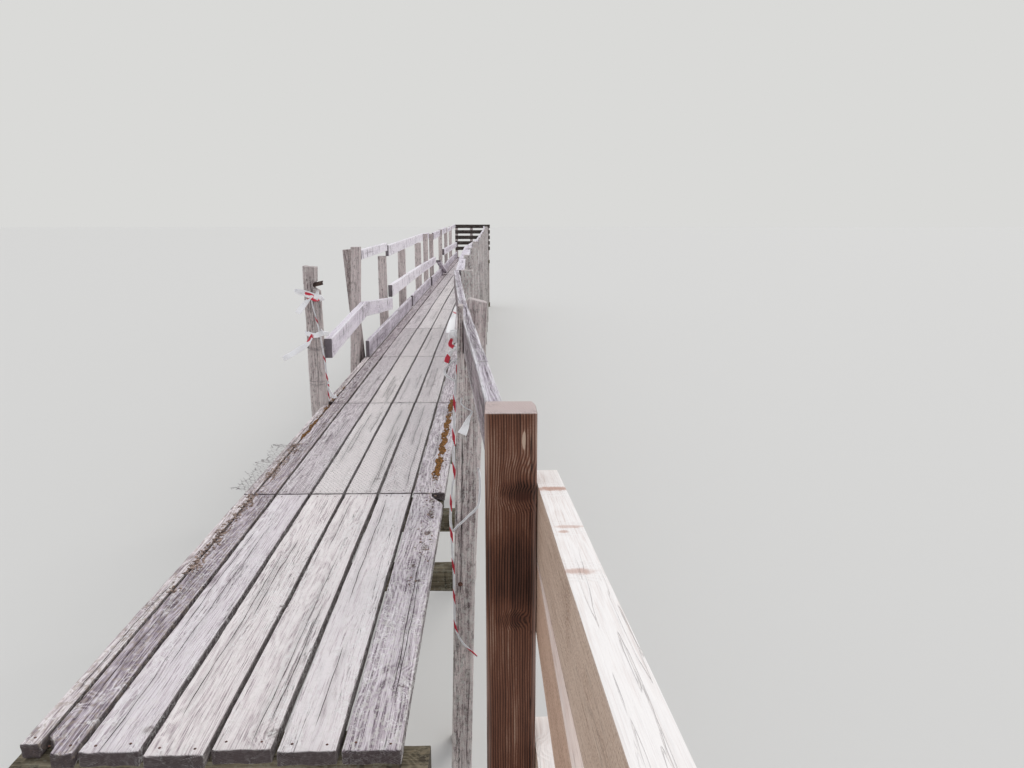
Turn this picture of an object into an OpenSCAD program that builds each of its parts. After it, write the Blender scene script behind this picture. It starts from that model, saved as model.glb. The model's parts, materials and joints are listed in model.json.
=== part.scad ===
// Long wooden footbridge on timber legs, with a weathered lengthwise plank deck,
// old rails and a kerb in mixed repair, a closed far end and a new fence bay at the entrance.
// Units are millimetres. X is across the bridge, +Y runs along it from the entrance, +Z is up.
// The origin is the middle of the underside of the sill under the entrance.

/* [Deck] */
// Number of bays between cross-beams
bays = 12; // [6:1:12]
// Length of one bay
bay_l = 2200; // [2000:10:2400]
// Planks side by side
planks = 6; // [4:1:8]
// Spacing of the planks, middle to middle
plank_pitch = 195; // [180:1:220]
// Width of one plank
plank_w = 178; // [160:1:185]
// Width of the narrow strip along the deck's left side
strip_w = 56; // [40:1:70]
// Thickness of a plank
plank_t = 50; // [40:1:60]
// Height of the deck over the ground at the entrance
deck_z = 1600; // [1200:10:2400]
// How far the middle of the bridge has moved to the left
side_bow = 65; // [0:5:90]
// How much higher the far end is
far_rise = 200; // [0:10:400]

/* [Frame] */
// Depth of a bearer, which lies right under the planks
bearer_h = 60; // [40:1:80]
// Width of a bearer
bearer_w = 140; // [100:1:160]
// Depth of a cross-beam
beam_h = 110; // [90:1:160]
// Width of a cross-beam
beam_w = 100; // [80:1:120]
// Side of an old post
post_w = 100; // [80:1:120]
// Distance from the deck's middle to the inner face of a post
post_in = 585; // [580:1:620]

/* [Rails] */
// Height of the handrail over the deck
rail_top = 1100; // [900:10:1250]
// Thickness of the old rail boards
rail_t = 44; // [30:1:60]
// Depth of the old handrail that stands on edge
rail_d = 150; // [100:1:180]
// Height of the kerb over the deck
kerb_h = 185; // [120:1:220]
// Side of a new brown post
new_post_w = 125; // [100:1:140]
// Depth of a new fence rail
new_rail_d = 195; // [120:1:220]
// Thickness of a new fence rail
new_rail_t = 64; // [40:1:80]
// Length of the new fence bay at the entrance
fence_bay = 2100; // [1500:50:3000]

/* [Hidden] */

deck_grey = [0.62, 0.57, 0.53];
beam_olive = [0.33, 0.31, 0.24];
post_grey = [0.47, 0.43, 0.38];
rail_pale = [0.72, 0.69, 0.72];
post_brown = [0.36, 0.20, 0.15];
rail_new = [0.87, 0.84, 0.76];
barrier_brown = [0.42, 0.34, 0.30];

bridge_l = bays * bay_l;
// The sill stands this far in from the deck's near edge.
front_lap = 100;
far_drift = 20;
joint_gap = 8;
sill_w = 150;
sill_l = 1300;
post_mid = post_in + post_w / 2;
// A cross-beam's top and underside, measured down from the deck.
beam_top = plank_t + bearer_h;
beam_low = beam_top + beam_h;

// The bridge has sagged sideways and climbs to its far end. s is the distance from the deck's near edge.
function bow(s) = -side_bow * pow(abs(sin(180 * s / bridge_l)), 1.2) - far_drift * pow(s / bridge_l, 2);
function climb(s) = far_rise * pow(max(s, 0) / bridge_l, 1.5);
// A point at offset x from the deck's middle, at distance s, and at height h over the deck there.
function at(x, s, h = 0) = [bow(s) + x, s - front_lap, deck_z + climb(s) + h];
// A small repeatable unevenness between -1 and 1.
function uneven(a, b) = sin(a * 137.5 + b * 61.3) * cos(a * 29.7 - b * 83.1);

// A straight board whose top edge runs from a to b, with plumb ends.
module board(a, b, thick, depth) {
    run = norm([b.x - a.x, b.y - a.y]);
    drop = b.z - a.z;
    translate(a)
        rotate([0, 0, atan2(b.y - a.y, b.x - a.x)])
            rotate([90, 0, 0])
                translate([0, 0, -thick / 2])
                    linear_extrude(thick)
                        polygon([[0, 0], [run, drop], [run, drop - depth], [0, -depth]]);
}

// A post from the ground at foot, whose head stands lean further to the right, slopes by cut and
// is narrower by worn. It is as deep as it is wide, unless deep says otherwise.
module post(foot, head_z, side, lean = 0, cut = 0, worn = 0, deep = 0) {
    head = (side - worn) / 2;
    along = deep > 0 ? deep : side;
    translate([foot.x, foot.y, 0])
        rotate([90, 0, 0])
            translate([0, 0, -along / 2])
                linear_extrude(along)
                    polygon([[-side / 2, 0], [side / 2, 0],
                        [head + lean, head_z - cut], [-head + lean, head_z]]);
}

// One bay of the deck: planks that are not quite even in width, length and place, with a narrow
// strip and a slimmer plank along the left side.
module deck_bay(i) {
    color(deck_grey) {
        for (j = [0 : planks - 1])
            difference() {
                plank(i, j);
                if (i == 0 && j == planks - 1)
                    rotten_corner();
            }
        edge_strip(i);
    }
}

deck_half = planks * plank_pitch / 2 - (plank_pitch - plank_w) / 2;
strip_gap = 12;

// The right plank is sawn narrower where the posts stand in.
function plank_edges(i, j) =
    let (mid = (j - (planks - 1) / 2) * plank_pitch + 3 * uneven(i + 1, j))
    let (left = j == 0 ? -deck_half + strip_w + strip_gap : mid - plank_w / 2 - 2 * uneven(j + 2, i))
    let (right = j < planks - 1 ? mid + plank_w / 2 + 2 * uneven(i, j + 4)
        : min(deck_half, right_in(i) - bow(i * bay_l) - 6, right_in(i + 1) - bow((i + 1) * bay_l) - 6))
    [left, right];

module plank(i, j) {
    edges = plank_edges(i, j);
    x = (edges[0] + edges[1]) / 2;
    s0 = i * bay_l + joint_gap / 2 + (i == 0 ? 12 * uneven(j, 3) : 0);
    s1 = (i + 1) * bay_l - joint_gap / 2 - 3 * abs(uneven(i, j + 5));
    board(at(x, s0), at(x + 2 * uneven(j, i), s1), edges[1] - edges[0], plank_t);
}

// The strip starts a little further in than the planks do, and stops short of the post that stands
// in the deck's side at the second joint.
module edge_strip(i) {
    x = -deck_half + strip_w / 2;
    post_gap = post_w / 2 + joint_gap;
    s0 = i * bay_l + (i == 0 ? 50 : (i == 2 ? post_gap : joint_gap / 2));
    s1 = (i + 1) * bay_l - (i == 1 ? post_gap : joint_gap / 2);
    board(at(x, s0), at(x, s1), strip_w, plank_t);
}

// The far right corner of the first right plank has rotted away.
module rotten_corner() {
    translate(at(deck_half, bay_l, -2 * plank_t))
        linear_extrude(3 * plank_t)
            polygon([[20, 20], [20, -140], [-8, -118], [-30, -96], [-52, -88], [-74, -52], [-70, 20]]);
}

// Bearers carry the butted plank ends, one under each joint and one behind each deck end.
module bearers() {
    color(beam_olive)
        for (i = [0 : bays]) {
            s = i == 0 ? front_lap : (i == bays ? bridge_l - front_lap : i * bay_l);
            left = max(8 - deck_half, left_in(i) - bow(s) + 2);
            right = min(deck_half - 8, right_in(i) - bow(s) - 2);
            board(at(left, s, -plank_t), at(right, s, -plank_t), bearer_w, bearer_h);
        }
}

// The right posts do not stand in a line: the inner face of each, measured from the bridge's axis.
right_line = [718, 650, 576, 510, 480, 471, 526, 524, 522, 520, 518, 481, 444];
function right_in(i) = right_line[min(i, 12)];
// The first two lean outwards. Their feet and how far each head is from its foot.
right_post_1_s = 1480;
right_post_1_foot = 667;
right_post_1_lean = 76;
right_post_2_foot = 633;
right_post_2_lean = 133;
right_post_2_top = rail_top + 24;
// How far each left post's inner face is from the common line, outwards where it is positive.
left_out = [0, 0, -44, 60, 6, 0, 0, 0, 60, 0, 0, 0, 0];
function left_in(i) = bow(i * bay_l) - post_in - left_out[min(i, 12)];

// A level point at a true distance x from the bridge's axis.
function across(x, s, h = 0) = [x, at(0, s).y, at(0, s, h).z];

module cross_beams() {
    color(beam_olive) {
        for (i = [1 : bays - 1]) {
            s = i * bay_l;
            board(across(left_in(i), s, -beam_top), across(right_in(i), s, -beam_top), beam_w, beam_h);
        }
        board(at(-post_in, right_post_1_s, -beam_top),
            across(right_post_1_foot - 12, right_post_1_s, -beam_top), beam_w, beam_h);
    }
}

// Boards on edge along the deck's sides lie on the cross-beams between the bearers.
module edge_boards() {
    edge_t = 45;
    edge_x = deck_half - 82;
    color(beam_olive)
        for (i = [0 : bays - 1], side = [-1, 1]) {
            s0 = i == 0 ? 900 : i * bay_l + bearer_w / 2;
            s1 = (i + 1) * bay_l - (i == bays - 1 ? front_lap : 0) - bearer_w / 2;
            board(at(side * edge_x, s0, -plank_t), at(side * edge_x, s1, -plank_t), edge_t, bearer_h);
        }
}

// A sill on the ground, three legs and a cap carry each end of the deck.
module abutment(s) {
    color(beam_olive) {
        middle = at(0, s);
        translate([middle.x - sill_l / 2, middle.y - sill_w / 2, 0])
            cube([sill_l, sill_w, sill_w]);
        for (x = [-500, 0, 500])
            translate([middle.x + x - sill_w / 2, middle.y - sill_w / 2, sill_w])
                cube([sill_w, sill_w, middle.z - beam_low - sill_w]);
        translate([middle.x - sill_l / 2, middle.y - sill_w / 2, middle.z - beam_low])
            cube([sill_l, sill_w, beam_h]);
    }
}
module near_abutment() { abutment(front_lap); }
module far_abutment() { abutment(bridge_l - front_lap); }

// Legs under the cross-beams where no rail post stands any more.
module short_legs() {
    color(post_grey)
        for (s = [right_post_1_s, bay_l, 6 * bay_l]) {
            foot = at(-post_mid + post_w, s);
            post(foot, foot.z - beam_low, post_w);
        }
}

// One sloping board stiffens each pair of legs. It is on their near side where a leaning post stands.
module bent_braces() {
    brace_t = 30;
    brace_d = 120;
    color(beam_olive)
        for (i = [2 : bays - 1]) {
            s = i * bay_l + (i == 3 ? -1 : 1) * (post_w / 2 + brace_t / 2);
            left = left_in(i) - post_w / 2;
            right = right_in(i) + post_w / 2;
            top_z = deck_z - beam_low - 60;
            foot_z = 320;
            board([left, at(0, s).y, i % 2 == 0 ? foot_z : top_z],
                [right, at(0, s).y, i % 2 == 0 ? top_z : foot_z], brace_t, brace_d);
        }
}

// The old post beside bay one is rebated on its outer side, where the handrail lies in it.
module right_post_1() {
    foot = across(right_post_1_foot, right_post_1_s);
    cut_x = handrail_x(right_post_1_s + post_w / 2) - rail_t / 2 - 1;
    color(post_grey)
        difference() {
            post(foot, foot.z + rail_top + 66, post_w, lean = right_post_1_lean);
            translate([cut_x, foot.y - post_w, foot.z + rail_top - rail_d])
                cube([2 * post_w, 2 * post_w, 2 * rail_d]);
        }
}

module right_post_2() {
    foot = across(right_post_2_foot, bay_l);
    color(post_grey)
        post(foot, foot.z + right_post_2_top, post_w, lean = right_post_2_lean, cut = 24);
}

module right_posts_far() {
    color(post_grey)
        for (i = [2 : bays - 1]) {
            foot = across(right_in(i) + post_w / 2, i * bay_l);
            post(foot, foot.z + rail_top + 28 + 10 * uneven(i, 1), post_w);
        }
}

// The handrail board stands on edge and flares out to the entrance post. It is bent a little at the
// second post. Its middle's distance from the bridge's axis, and from the deck's near edge.
handrail_line = [[861, -138], [680, 2200], [520, 4730]];
function handrail_x(s) = lookup(s, [for (p = handrail_line) [p[1], p[0]]]);
module right_handrail_near() {
    near_s = handrail_line[0][1];
    far_s = handrail_line[2][1];
    side = rail_t / 2;
    left = [for (p = handrail_line) [p[0] - side, p[1] - near_s]];
    right = [for (k = [2 : -1 : 0]) [handrail_line[k][0] + side, handrail_line[k][1] - near_s]];
    color(rail_pale)
        translate([0, near_s - front_lap, deck_z + rail_top])
            rotate([atan(climb(far_s) / (far_s - near_s)), 0, 0])
                translate([0, 0, -rail_d])
                    linear_extrude(rail_d)
                        polygon(concat(left, right));
}

// Beyond the third joint the handrail is a board laid flat, then a wider one notched round two
// posts. From the fifth joint on it is a board on edge again.
flat_rail_t = 50;
narrow_w = 72;
narrow_near = [2.165, 513];
narrow_far = [2.98, 457];
wide_w = 100;
wide_near = [2.98, 453];
wide_far = [4.55, 387];
// Where its further lengths meet, and their inner faces' distances from the bridge's axis.
edge_rail = [[4.58, 405], [6, 482], [10, 474], [12, 400]];
module right_handrail_far() {
    color(rail_pale) {
        rail_length(narrow_near, narrow_far, narrow_w, flat_rail_t);
        difference() {
            rail_length(wide_near, wide_far, wide_w, flat_rail_t);
            for (i = [3, 4])
                post_notch(i);
        }
        for (k = [0 : len(edge_rail) - 2])
            rail_length(edge_rail[k], edge_rail[k + 1], rail_t, rail_d);
    }
}
module rail_length(near, far, wide, deep) {
    board(across(near[1] + wide / 2, near[0] * bay_l, rail_top),
        across(far[1] + wide / 2, far[0] * bay_l - joint_gap, rail_top), wide, deep);
}
module post_notch(i) {
    foot = across(right_in(i), i * bay_l);
    translate([foot.x, foot.y - post_w / 2 - 1, foot.z])
        cube([2 * post_w, post_w + 2, 2 * rail_top]);
}

module right_mid_rail() {
    height = 620;
    post_2_reach = right_post_2_lean * (deck_z + height - rail_d) / (deck_z + right_post_2_top);
    post_2_in = right_post_2_foot - post_w / 2 + post_2_reach;
    color(rail_pale)
        for (i = [1 : bays - 1]) {
            near = (i == 1 ? post_2_in : right_in(i)) - rail_t / 2;
            far = right_in(i + 1) - rail_t / 2;
            board(across(near, i * bay_l, height), across(far, (i + 1) * bay_l - joint_gap, height),
                rail_t, rail_d);
        }
}

// This wide post stands alone, narrower to its head, whose right side has broken away.
module left_post_1() {
    foot = across(-620, 2 * bay_l);
    bite_z = foot.z + 1035;
    bite = [[14, 200], [6, 0], [-22, -10], [-26, -42], [-4, -58], [60, -58], [60, 200]];
    color(post_grey)
        difference() {
            post(foot, foot.z + 1165, 150, lean = -36, cut = 12, worn = 30, deep = post_w);
            translate([foot.x - 2, foot.y, bite_z])
                rotate([90, 0, 0])
                    translate([0, 0, -post_w])
                        linear_extrude(2 * post_w)
                            polygon(bite);
        }
}

// This post leans a little towards the deck.
module left_post_2() {
    foot = across(-800, 3 * bay_l);
    color(post_grey)
        post(foot, foot.z + 1225, post_w, lean = 126);
}

// A second post leans the other way, against the far side of its neighbour.
module left_leaning_post() {
    foot = across(-574, 3 * bay_l + post_w);
    color(post_brown)
        post(foot, foot.z + 1190, post_w, lean = -211, cut = -8);
}

module left_post_3() {
    foot = across(left_in(4) - 59, 4 * bay_l);
    color(post_grey)
        post(foot, foot.z + 1010, 118, lean = -6, worn = 14);
}

// The bay joint, the distance past it and out of line, the side and the head's height of each
// further left post. The first two carry the top rail on their heads, the others rise beside it.
left_far_posts = [[5, 0, 0, 115, 1004], [6, 800, 20, 120, 998], [7, 0, 0, post_w, 1135],
    [8, 0, 0, post_w, 1075], [9, 0, 0, post_w, 1135], [10, 0, 0, post_w, 1135],
    [11, 0, 0, post_w, 1135]];
module left_posts_far() {
    color(post_grey)
        for (p = left_far_posts) {
            side = p[3];
            foot = across(left_in(p[0]) - p[2] - side / 2, p[0] * bay_l + p[1]);
            post(foot, foot.z + p[4], side);
        }
}

// The top rail's lengths lean against posts, rest on their heads or pass outside them.
module left_top_rail() {
    first_near = across(-646, 3 * bay_l + 50, 1190);
    outside_7 = left_in(7) - post_w - rail_t / 2;
    outside_8 = left_in(8) - post_w - rail_t / 2;
    color(rail_pale) {
        board(first_near, across(-655, 4 * bay_l - 12, 1190), rail_t, 106);
        board(across(-643, 4 * bay_l + 12, 1155), across(outside_7, 7 * bay_l + 50, 1145), rail_t, 148);
        board(across(outside_7, 7 * bay_l + 60, 1140), across(outside_8, 8 * bay_l + 50, 1110),
            rail_t, 148);
        board(across(-722, 8 * bay_l + 60, 1100), across(-668, 10 * bay_l - 4, 1158), rail_t, 165);
        board(across(-668, 10 * bay_l + 60, 1100), across(-622, 12 * bay_l, 1170), rail_t, 120);
    }
}

mid_t = 58;
mid_d = 165;
// The middle rail has dropped at its second post and lies on the inner faces of the others.
module left_mid_rail() {
    color(rail_pale) {
        board(across(-617, 3 * bay_l + 2, 622), across(left_in(4) + mid_t / 2, 4 * bay_l + 30, 432),
            mid_t, mid_d);
        board(across(left_in(4) + mid_t / 2, 4 * bay_l + 36, 607),
            across(left_in(6) + mid_t / 2, 6 * bay_l - joint_gap, 590), mid_t, mid_d);
        board(across(left_in(6) + mid_t / 2, 6 * bay_l, 590),
            across(left_in(8) + mid_t / 2, 8 * bay_l - joint_gap, 510), mid_t, mid_d);
        board(across(left_in(9) + mid_t / 2, 9 * bay_l, 600),
            across(left_in(12) + mid_t / 2, 12 * bay_l, 530), mid_t, mid_d);
    }
}

// A length of the middle rail has come off its first post and is still nailed to the second.
module left_loose_rail() {
    color(rail_pale)
        board(across(-549, 2 * bay_l + 10, 553), across(-617, 3 * bay_l - 2, 622), 63, mid_d);
}

// A broken length lies on its side from the eighth post down to the deck. Its lower end is splintered.
module left_fallen_rail() {
    fallen_w = 120;
    fallen_t = 48;
    near = across(left_in(8) + fallen_w / 2 + 1, 8 * bay_l, 430);
    far = across(-477, 8 * bay_l + 1070, 54);
    level = norm([far.x - near.x, far.y - near.y]);
    run = norm([level, far.z - near.z]);
    splinters = [[-190, -60], [-110, -40], [-130, -14], [-30, -4], [-90, 20], [0, 36], [-60, 60]];
    color(rail_pale)
        translate(near)
            rotate([0, 0, atan2(far.y - near.y, far.x - near.x)])
                rotate([0, atan2(near.z - far.z, level), 0])
                    translate([0, 0, -fallen_t])
                        linear_extrude(fallen_t)
                            polygon([[0, 60], [0, -60], for (p = splinters) [run + p.x, p.y]]);
}

// The kerb stands on the strip along the deck's left side, from the third bay's end to the far end.
module left_kerb() {
    x = -deck_half + strip_w / 2 + 6;
    color(rail_pale)
        for (run = [[6580, 11250, 0], [11480, 15260, 0], [15400, 20900, 25], [20920, 26300, 0]])
            board(at(x + run[2], run[0], kerb_h), at(x + run[2], run[1], kerb_h), 42, kerb_h);
}

entrance_x = 900;
entrance_y = -301;
new_head = 1103;
// The approach fence turns outwards by this angle, and its top rail rises by this much per length.
fence_flare = 1.26;
fence_rise = 0.11;

// A square post with one long corner planed off.
module new_post(x, y, head_z) {
    half = new_post_w / 2;
    color(post_brown)
        translate([x, y, 0])
            linear_extrude(head_z)
                polygon([[-half, -half], [half, -half], [half, half - 45], [half - 9, half],
                    [-half, half]]);
}
module entrance_post() { new_post(entrance_x, entrance_y, deck_z + new_head); }
module approach_post() {
    new_post(entrance_x + fence_bay * tan(fence_flare), entrance_y - fence_bay,
        deck_z + new_head + fence_bay * fence_rise);
}

// The new rails are fixed to the outer faces of the brown posts. Each has its top edge at this
// height over the deck by the entrance post, laps past it by so much and rises to the other one.
module fence_rail(height, lap, rise = 0) {
    x0 = entrance_x + new_post_w / 2 + new_rail_t / 2;
    far_lap = 60;
    reach = fence_bay + far_lap;
    z = deck_z + height;
    color(rail_new)
        board([x0 - lap * tan(fence_flare), entrance_y + lap, z - lap * rise],
            [x0 + reach * tan(fence_flare), entrance_y - reach, z + reach * rise],
            new_rail_t, new_rail_d);
}
module approach_rail_top() { fence_rail(919, 105, fence_rise); }
module approach_rail_middle() { fence_rail(722, 0); }
module approach_rail_bottom() { fence_rail(213, 60); }

// Five boards close the far end.
module end_barrier_boards() {
    barrier_d = 125;
    barrier_t = 35;
    s = bridge_l + 40;
    color(barrier_brown)
        for (i = [0 : 4]) {
            h = 1150 - i * 196;
            board(across(-620, s, h), across(640, s, h), barrier_t, barrier_d);
        }
}

module end_barrier_post() {
    s = bridge_l + 40 + 35 / 2 + post_w / 2;
    color(post_grey)
        for (x = [-570, -30, 560]) {
            foot = across(x, s);
            post(foot, foot.z + 1140, post_w);
        }
}

deck_bay(0);  // deck_bay_01
deck_bay(1);  // deck_bay_02
deck_bay(2);  // deck_bay_03
deck_bay(3);  // deck_bay_04
deck_bay(4);  // deck_bay_05
deck_bay(5);  // deck_bay_06
deck_bay(6);  // deck_bay_07
deck_bay(7);  // deck_bay_08
deck_bay(8);  // deck_bay_09
deck_bay(9);  // deck_bay_10
deck_bay(10);  // deck_bay_11
deck_bay(11);  // deck_bay_12
bearers();
cross_beams();
edge_boards();
near_abutment();
far_abutment();
short_legs();
bent_braces();
right_post_1();
right_post_2();
right_posts_far();
right_handrail_near();
right_handrail_far();
right_mid_rail();
left_post_1();
left_post_2();
left_leaning_post();
left_post_3();
left_posts_far();
left_top_rail();
left_mid_rail();
left_loose_rail();
left_fallen_rail();
left_kerb();
entrance_post();
approach_post();
approach_rail_top();
approach_rail_middle();
approach_rail_bottom();
end_barrier_boards();
end_barrier_post();
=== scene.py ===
"""Weathered wooden footbridge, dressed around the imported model. Lengths are in metres."""

import itertools
import json
import math
import random
from dataclasses import dataclass

import bpy
import numpy as np
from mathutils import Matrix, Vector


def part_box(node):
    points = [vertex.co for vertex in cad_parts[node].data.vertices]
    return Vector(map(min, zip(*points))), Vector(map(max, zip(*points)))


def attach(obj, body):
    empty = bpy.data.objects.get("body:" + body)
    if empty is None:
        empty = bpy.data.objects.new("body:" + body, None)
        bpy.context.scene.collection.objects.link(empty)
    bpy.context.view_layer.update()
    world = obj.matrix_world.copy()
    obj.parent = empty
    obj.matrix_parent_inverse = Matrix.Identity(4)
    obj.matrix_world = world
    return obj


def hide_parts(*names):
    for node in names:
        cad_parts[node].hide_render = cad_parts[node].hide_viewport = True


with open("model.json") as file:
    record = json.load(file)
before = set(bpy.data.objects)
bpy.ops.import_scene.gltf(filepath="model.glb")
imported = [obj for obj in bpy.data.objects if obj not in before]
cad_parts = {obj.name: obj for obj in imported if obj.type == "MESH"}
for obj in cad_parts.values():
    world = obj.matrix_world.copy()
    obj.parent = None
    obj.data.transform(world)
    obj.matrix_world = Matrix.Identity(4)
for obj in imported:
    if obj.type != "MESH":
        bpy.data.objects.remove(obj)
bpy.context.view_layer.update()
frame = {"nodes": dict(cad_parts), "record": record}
NODE_SLOT = {row["node"]: row["material_slot"] for row in frame["record"]["subparts"]}
BODY = "root"
MM = 0.001

# The bridge's own sizes.
BAYS = 12
BAY_L = 2.2
BRIDGE_L = BAYS * BAY_L
FRONT_LAP = 0.1
DECK_Z = 1.6
SIDE_BOW = 0.065
FAR_DRIFT = 0.02
FAR_RISE = 0.2


def bow(s):
    """How far the deck's middle has moved sideways at distance s from its near edge."""
    return -SIDE_BOW * np.abs(np.sin(math.pi * s / BRIDGE_L)) ** 1.2 - FAR_DRIFT * (s / BRIDGE_L) ** 2


def climb(s):
    """How much higher the deck is at distance s than at the entrance."""
    return FAR_RISE * (np.maximum(s, 0) / BRIDGE_L) ** 1.5


def ripple(x, seed, longest, octaves=4):
    """A smooth repeatable unevenness of about -1 to 1 along x, whose longest wave is given."""
    rng = random.Random(seed)
    total = np.zeros_like(x, dtype=float)
    for k in range(octaves):
        wave = longest / (1.9**k) * rng.uniform(0.8, 1.25)
        total += np.sin(2 * math.pi * (x / wave + rng.random())) * 0.62**k
    return total / 1.9


def corners_of(points):
    """Orders a board's eight corners as [near or far end][left or right][low or high]."""
    points = np.array(points, dtype=float)
    spans = points.max(0) - points.min(0)
    along = int(np.argmax(spans))
    across, up = {0: (1, 2), 1: (0, 2), 2: (0, 1)}[along]
    order = np.argsort(points[:, along], kind="stable")
    corners = np.empty((2, 2, 2, 3))
    for i, end in enumerate((order[:4], order[-4:])):
        end = end[np.argsort(points[end, up], kind="stable")]
        for k, pair in enumerate((end[:2], end[-2:])):
            pair = pair[np.argsort(points[pair, across], kind="stable")]
            corners[i, 0, k] = points[pair[0]]
            corners[i, 1, k] = points[pair[1]]
    return corners


def loose_parts(node):
    """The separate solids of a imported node, each as its distinct corner points."""
    mesh = frame["nodes"][node].data
    co = np.empty(len(mesh.vertices) * 3)
    mesh.vertices.foreach_get("co", co)
    keys, index = np.unique(np.round(co.reshape(-1, 3), 5), axis=0, return_inverse=True)
    index = index.reshape(-1)
    parent = list(range(len(keys)))

    def root(a):
        while parent[a] != a:
            parent[a] = parent[parent[a]]
            a = parent[a]
        return a

    for polygon in mesh.polygons:
        first = root(index[polygon.vertices[0]])
        for v in polygon.vertices[1:]:
            parent[root(index[v])] = first
    parts = {}
    for a in range(len(keys)):
        parts.setdefault(root(a), []).append(keys[a])
    return [np.array(p) for p in parts.values()]


@dataclass
class Timber:
    """One board or post: a worn section lofted through the space that its eight corners hold.

    Its points are worked out along the timber from its near or low end, and across and up in the
    section from its middle."""

    corners: np.ndarray
    seed: int
    step: float = 0.06  # between the rings of points along it
    side_gap: float = 0.035  # between the points of a ring
    radius: float = 0.005  # of its arrises
    worn: float = 0.5  # how much that radius varies
    rough: float = 0.6 * MM
    cup: float = 0.0  # how hollow its low and high faces are
    warp: float = 1.0 * MM
    end_round: float = 0.003
    tint: tuple = (0.5, 0.5, 0.0, 0.0)  # tone, warmth, lichen and moss
    pith: tuple = None  # the middle of its growth rings, across and up
    grooves: tuple = ()
    ragged: tuple = (0.0, 0.0)  # how far its two ends are splintered
    inset: object = None  # gives what is missing at its left and right for places along it
    breaks: tuple = ()  # places where inset jumps
    bend: tuple = None  # a share of its length, and how far it is bent sideways there
    planed: tuple = None  # width and depth of what is planed off its right side's upper part

    SIDES = ((0, -1), (1, 0), (0, 1), (-1, 0))  # low, right, high, left, in (across, up)
    SHOULDER = 4 * MM  # each face has a point so far from its arrises
    LEAST_STEP = 1.1 * MM
    BREAK = 0.8 * MM  # half the run of a jump in inset

    def __post_init__(self):
        rng = random.Random(self.seed * 7 + 1)
        self.pith = self.pith or (rng.uniform(-0.05, 0.05), -rng.uniform(0.05, 0.12))
        c = self.corners
        self.length = float(np.mean(np.linalg.norm(c[1] - c[0], axis=-1)))
        self.width = float(np.mean(np.linalg.norm(c[:, 1] - c[:, 0], axis=-1)))
        self.depth = float(np.mean(np.linalg.norm(c[:, :, 1] - c[:, :, 0], axis=-1)))

    def section(self):
        """Ring points as rows of (kind, side or corner, place, arc point or groove, groove part)."""
        rows = []
        for side in range(4):
            span = (self.width if side % 2 == 0 else self.depth) - 2 * self.radius
            count = max(1, round(span / self.side_gap))
            places = [2 * (k + 0.5) / count - 1 for k in range(count)]
            shoulder = 1 - 2 * self.SHOULDER / span
            spots = [(-shoulder, None)] + [(t, None) for t in places] + [(shoulder, None)]
            for number, groove in enumerate(self.grooves):
                if groove["side"] == side:
                    near = min(range(1, len(spots) - 1), key=lambda k: abs(spots[k][0] - groove["place"]))
                    if spots[near][1] is None:
                        spots[near] = (groove["place"], number)
            spots.sort(key=lambda spot: spot[0])
            for t, number in spots:
                if number is None:
                    rows.append(("side", side, t, -1, 0))
                else:
                    rows += [("side", side, t, number, part) for part in (-1, 0, 1)]
            rows += [("arc", side, 0, a, 0) for a in (0, 1, 2)]
        return rows

    def stations(self):
        """The places along the timber that have a ring of points."""
        count = max(2, int(round(self.length / self.step)))
        extra = [place for k in (1, 3) for place in (k * self.end_round, self.length - k * self.end_round)]
        extra += [place + off for place in self.breaks for off in (-self.BREAK, self.BREAK)]
        x = np.unique(np.round(np.concatenate([np.linspace(0, self.length, count + 1), extra]), 6))
        keep = [0]
        for k in range(1, len(x)):
            if x[k] - x[keep[-1]] > self.LEAST_STEP:
                keep.append(k)
        x = x[keep]
        x[-1] = self.length
        return x

    def arris_point(self, side, step, radius):
        """Across, up, wear and darkness of a point on the arris after a side: its start, middle or end."""
        (sy, sz), (ny, nz) = self.SIDES[side], self.SIDES[(side + 1) % 4]
        cy, cz = sy + ny, sz + nz
        slant = 1 / math.sqrt(2)
        ay, az = ((sy, sz), (cy * slant, cz * slant), (ny, nz))[step]
        return (cy * self.width / 2 + (ay - cy) * radius, cz * self.depth / 2 + (az - cz) * radius,
                1.0 if step == 1 else 0.75, 0.0)

    def crack_point(self, x, number, part):
        """How far a crack's point slides along its face, how far in it lies and how dark it is.

        part is -1 or 1 at the crack's lips and 0 at its bottom."""
        groove = self.grooves[number]
        start, stop = groove["from"], groove["to"]
        fade = max(1e-6, 0.12 * (stop - start))
        inside = np.clip((x - start) / fade, 0, 1) * np.clip((stop - x) / fade, 0, 1)
        inside = inside * (0.75 + 0.25 * ripple(x, self.seed * 23 + number, 0.3))
        lip = part * (0.6 * MM + inside * groove["width"] / 2)
        slide = groove.get("wander", 4 * MM) * ripple(x, self.seed * 29 + number, 0.9) + lip
        if part:
            return slide, 0.0, np.clip(inside, 0, 1) * 0.25
        return slide, inside * groove["depth"], np.clip(inside * 1.4, 0, 1)

    def face_point(self, x, n, side, place, number, part):
        """Across, up, wear and darkness of a point on a face, or in one of its cracks."""
        sy, sz = self.SIDES[side]
        half_w, half_d = self.width / 2, self.depth / 2
        reach = (half_w if side % 2 == 0 else half_d) - self.radius * 1.3
        inward = self.rough * (0.6 + ripple(x + 0.31 * n, self.seed * 17 + side, 0.35)) * 0.6
        inward += self.rough * 0.5 * ripple(x, self.seed * 19 + n, 0.09, 2)
        if self.cup and side % 2 == 0:
            inward += self.cup * (1 - place**2)
        slide, deeper, dark = self.crack_point(x, number, part) if number >= 0 else (0.0, 0.0, 0.0)
        inward = inward + deeper
        round_ring = place * reach + slide
        by_arris = abs(place) > 0.5 and (1 - abs(place)) * reach < 6 * MM
        return (sy * (half_w - inward) - sz * round_ring, sz * (half_d - inward) + sy * round_ring,
                0.3 if by_arris else 0.0, dark)

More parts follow.
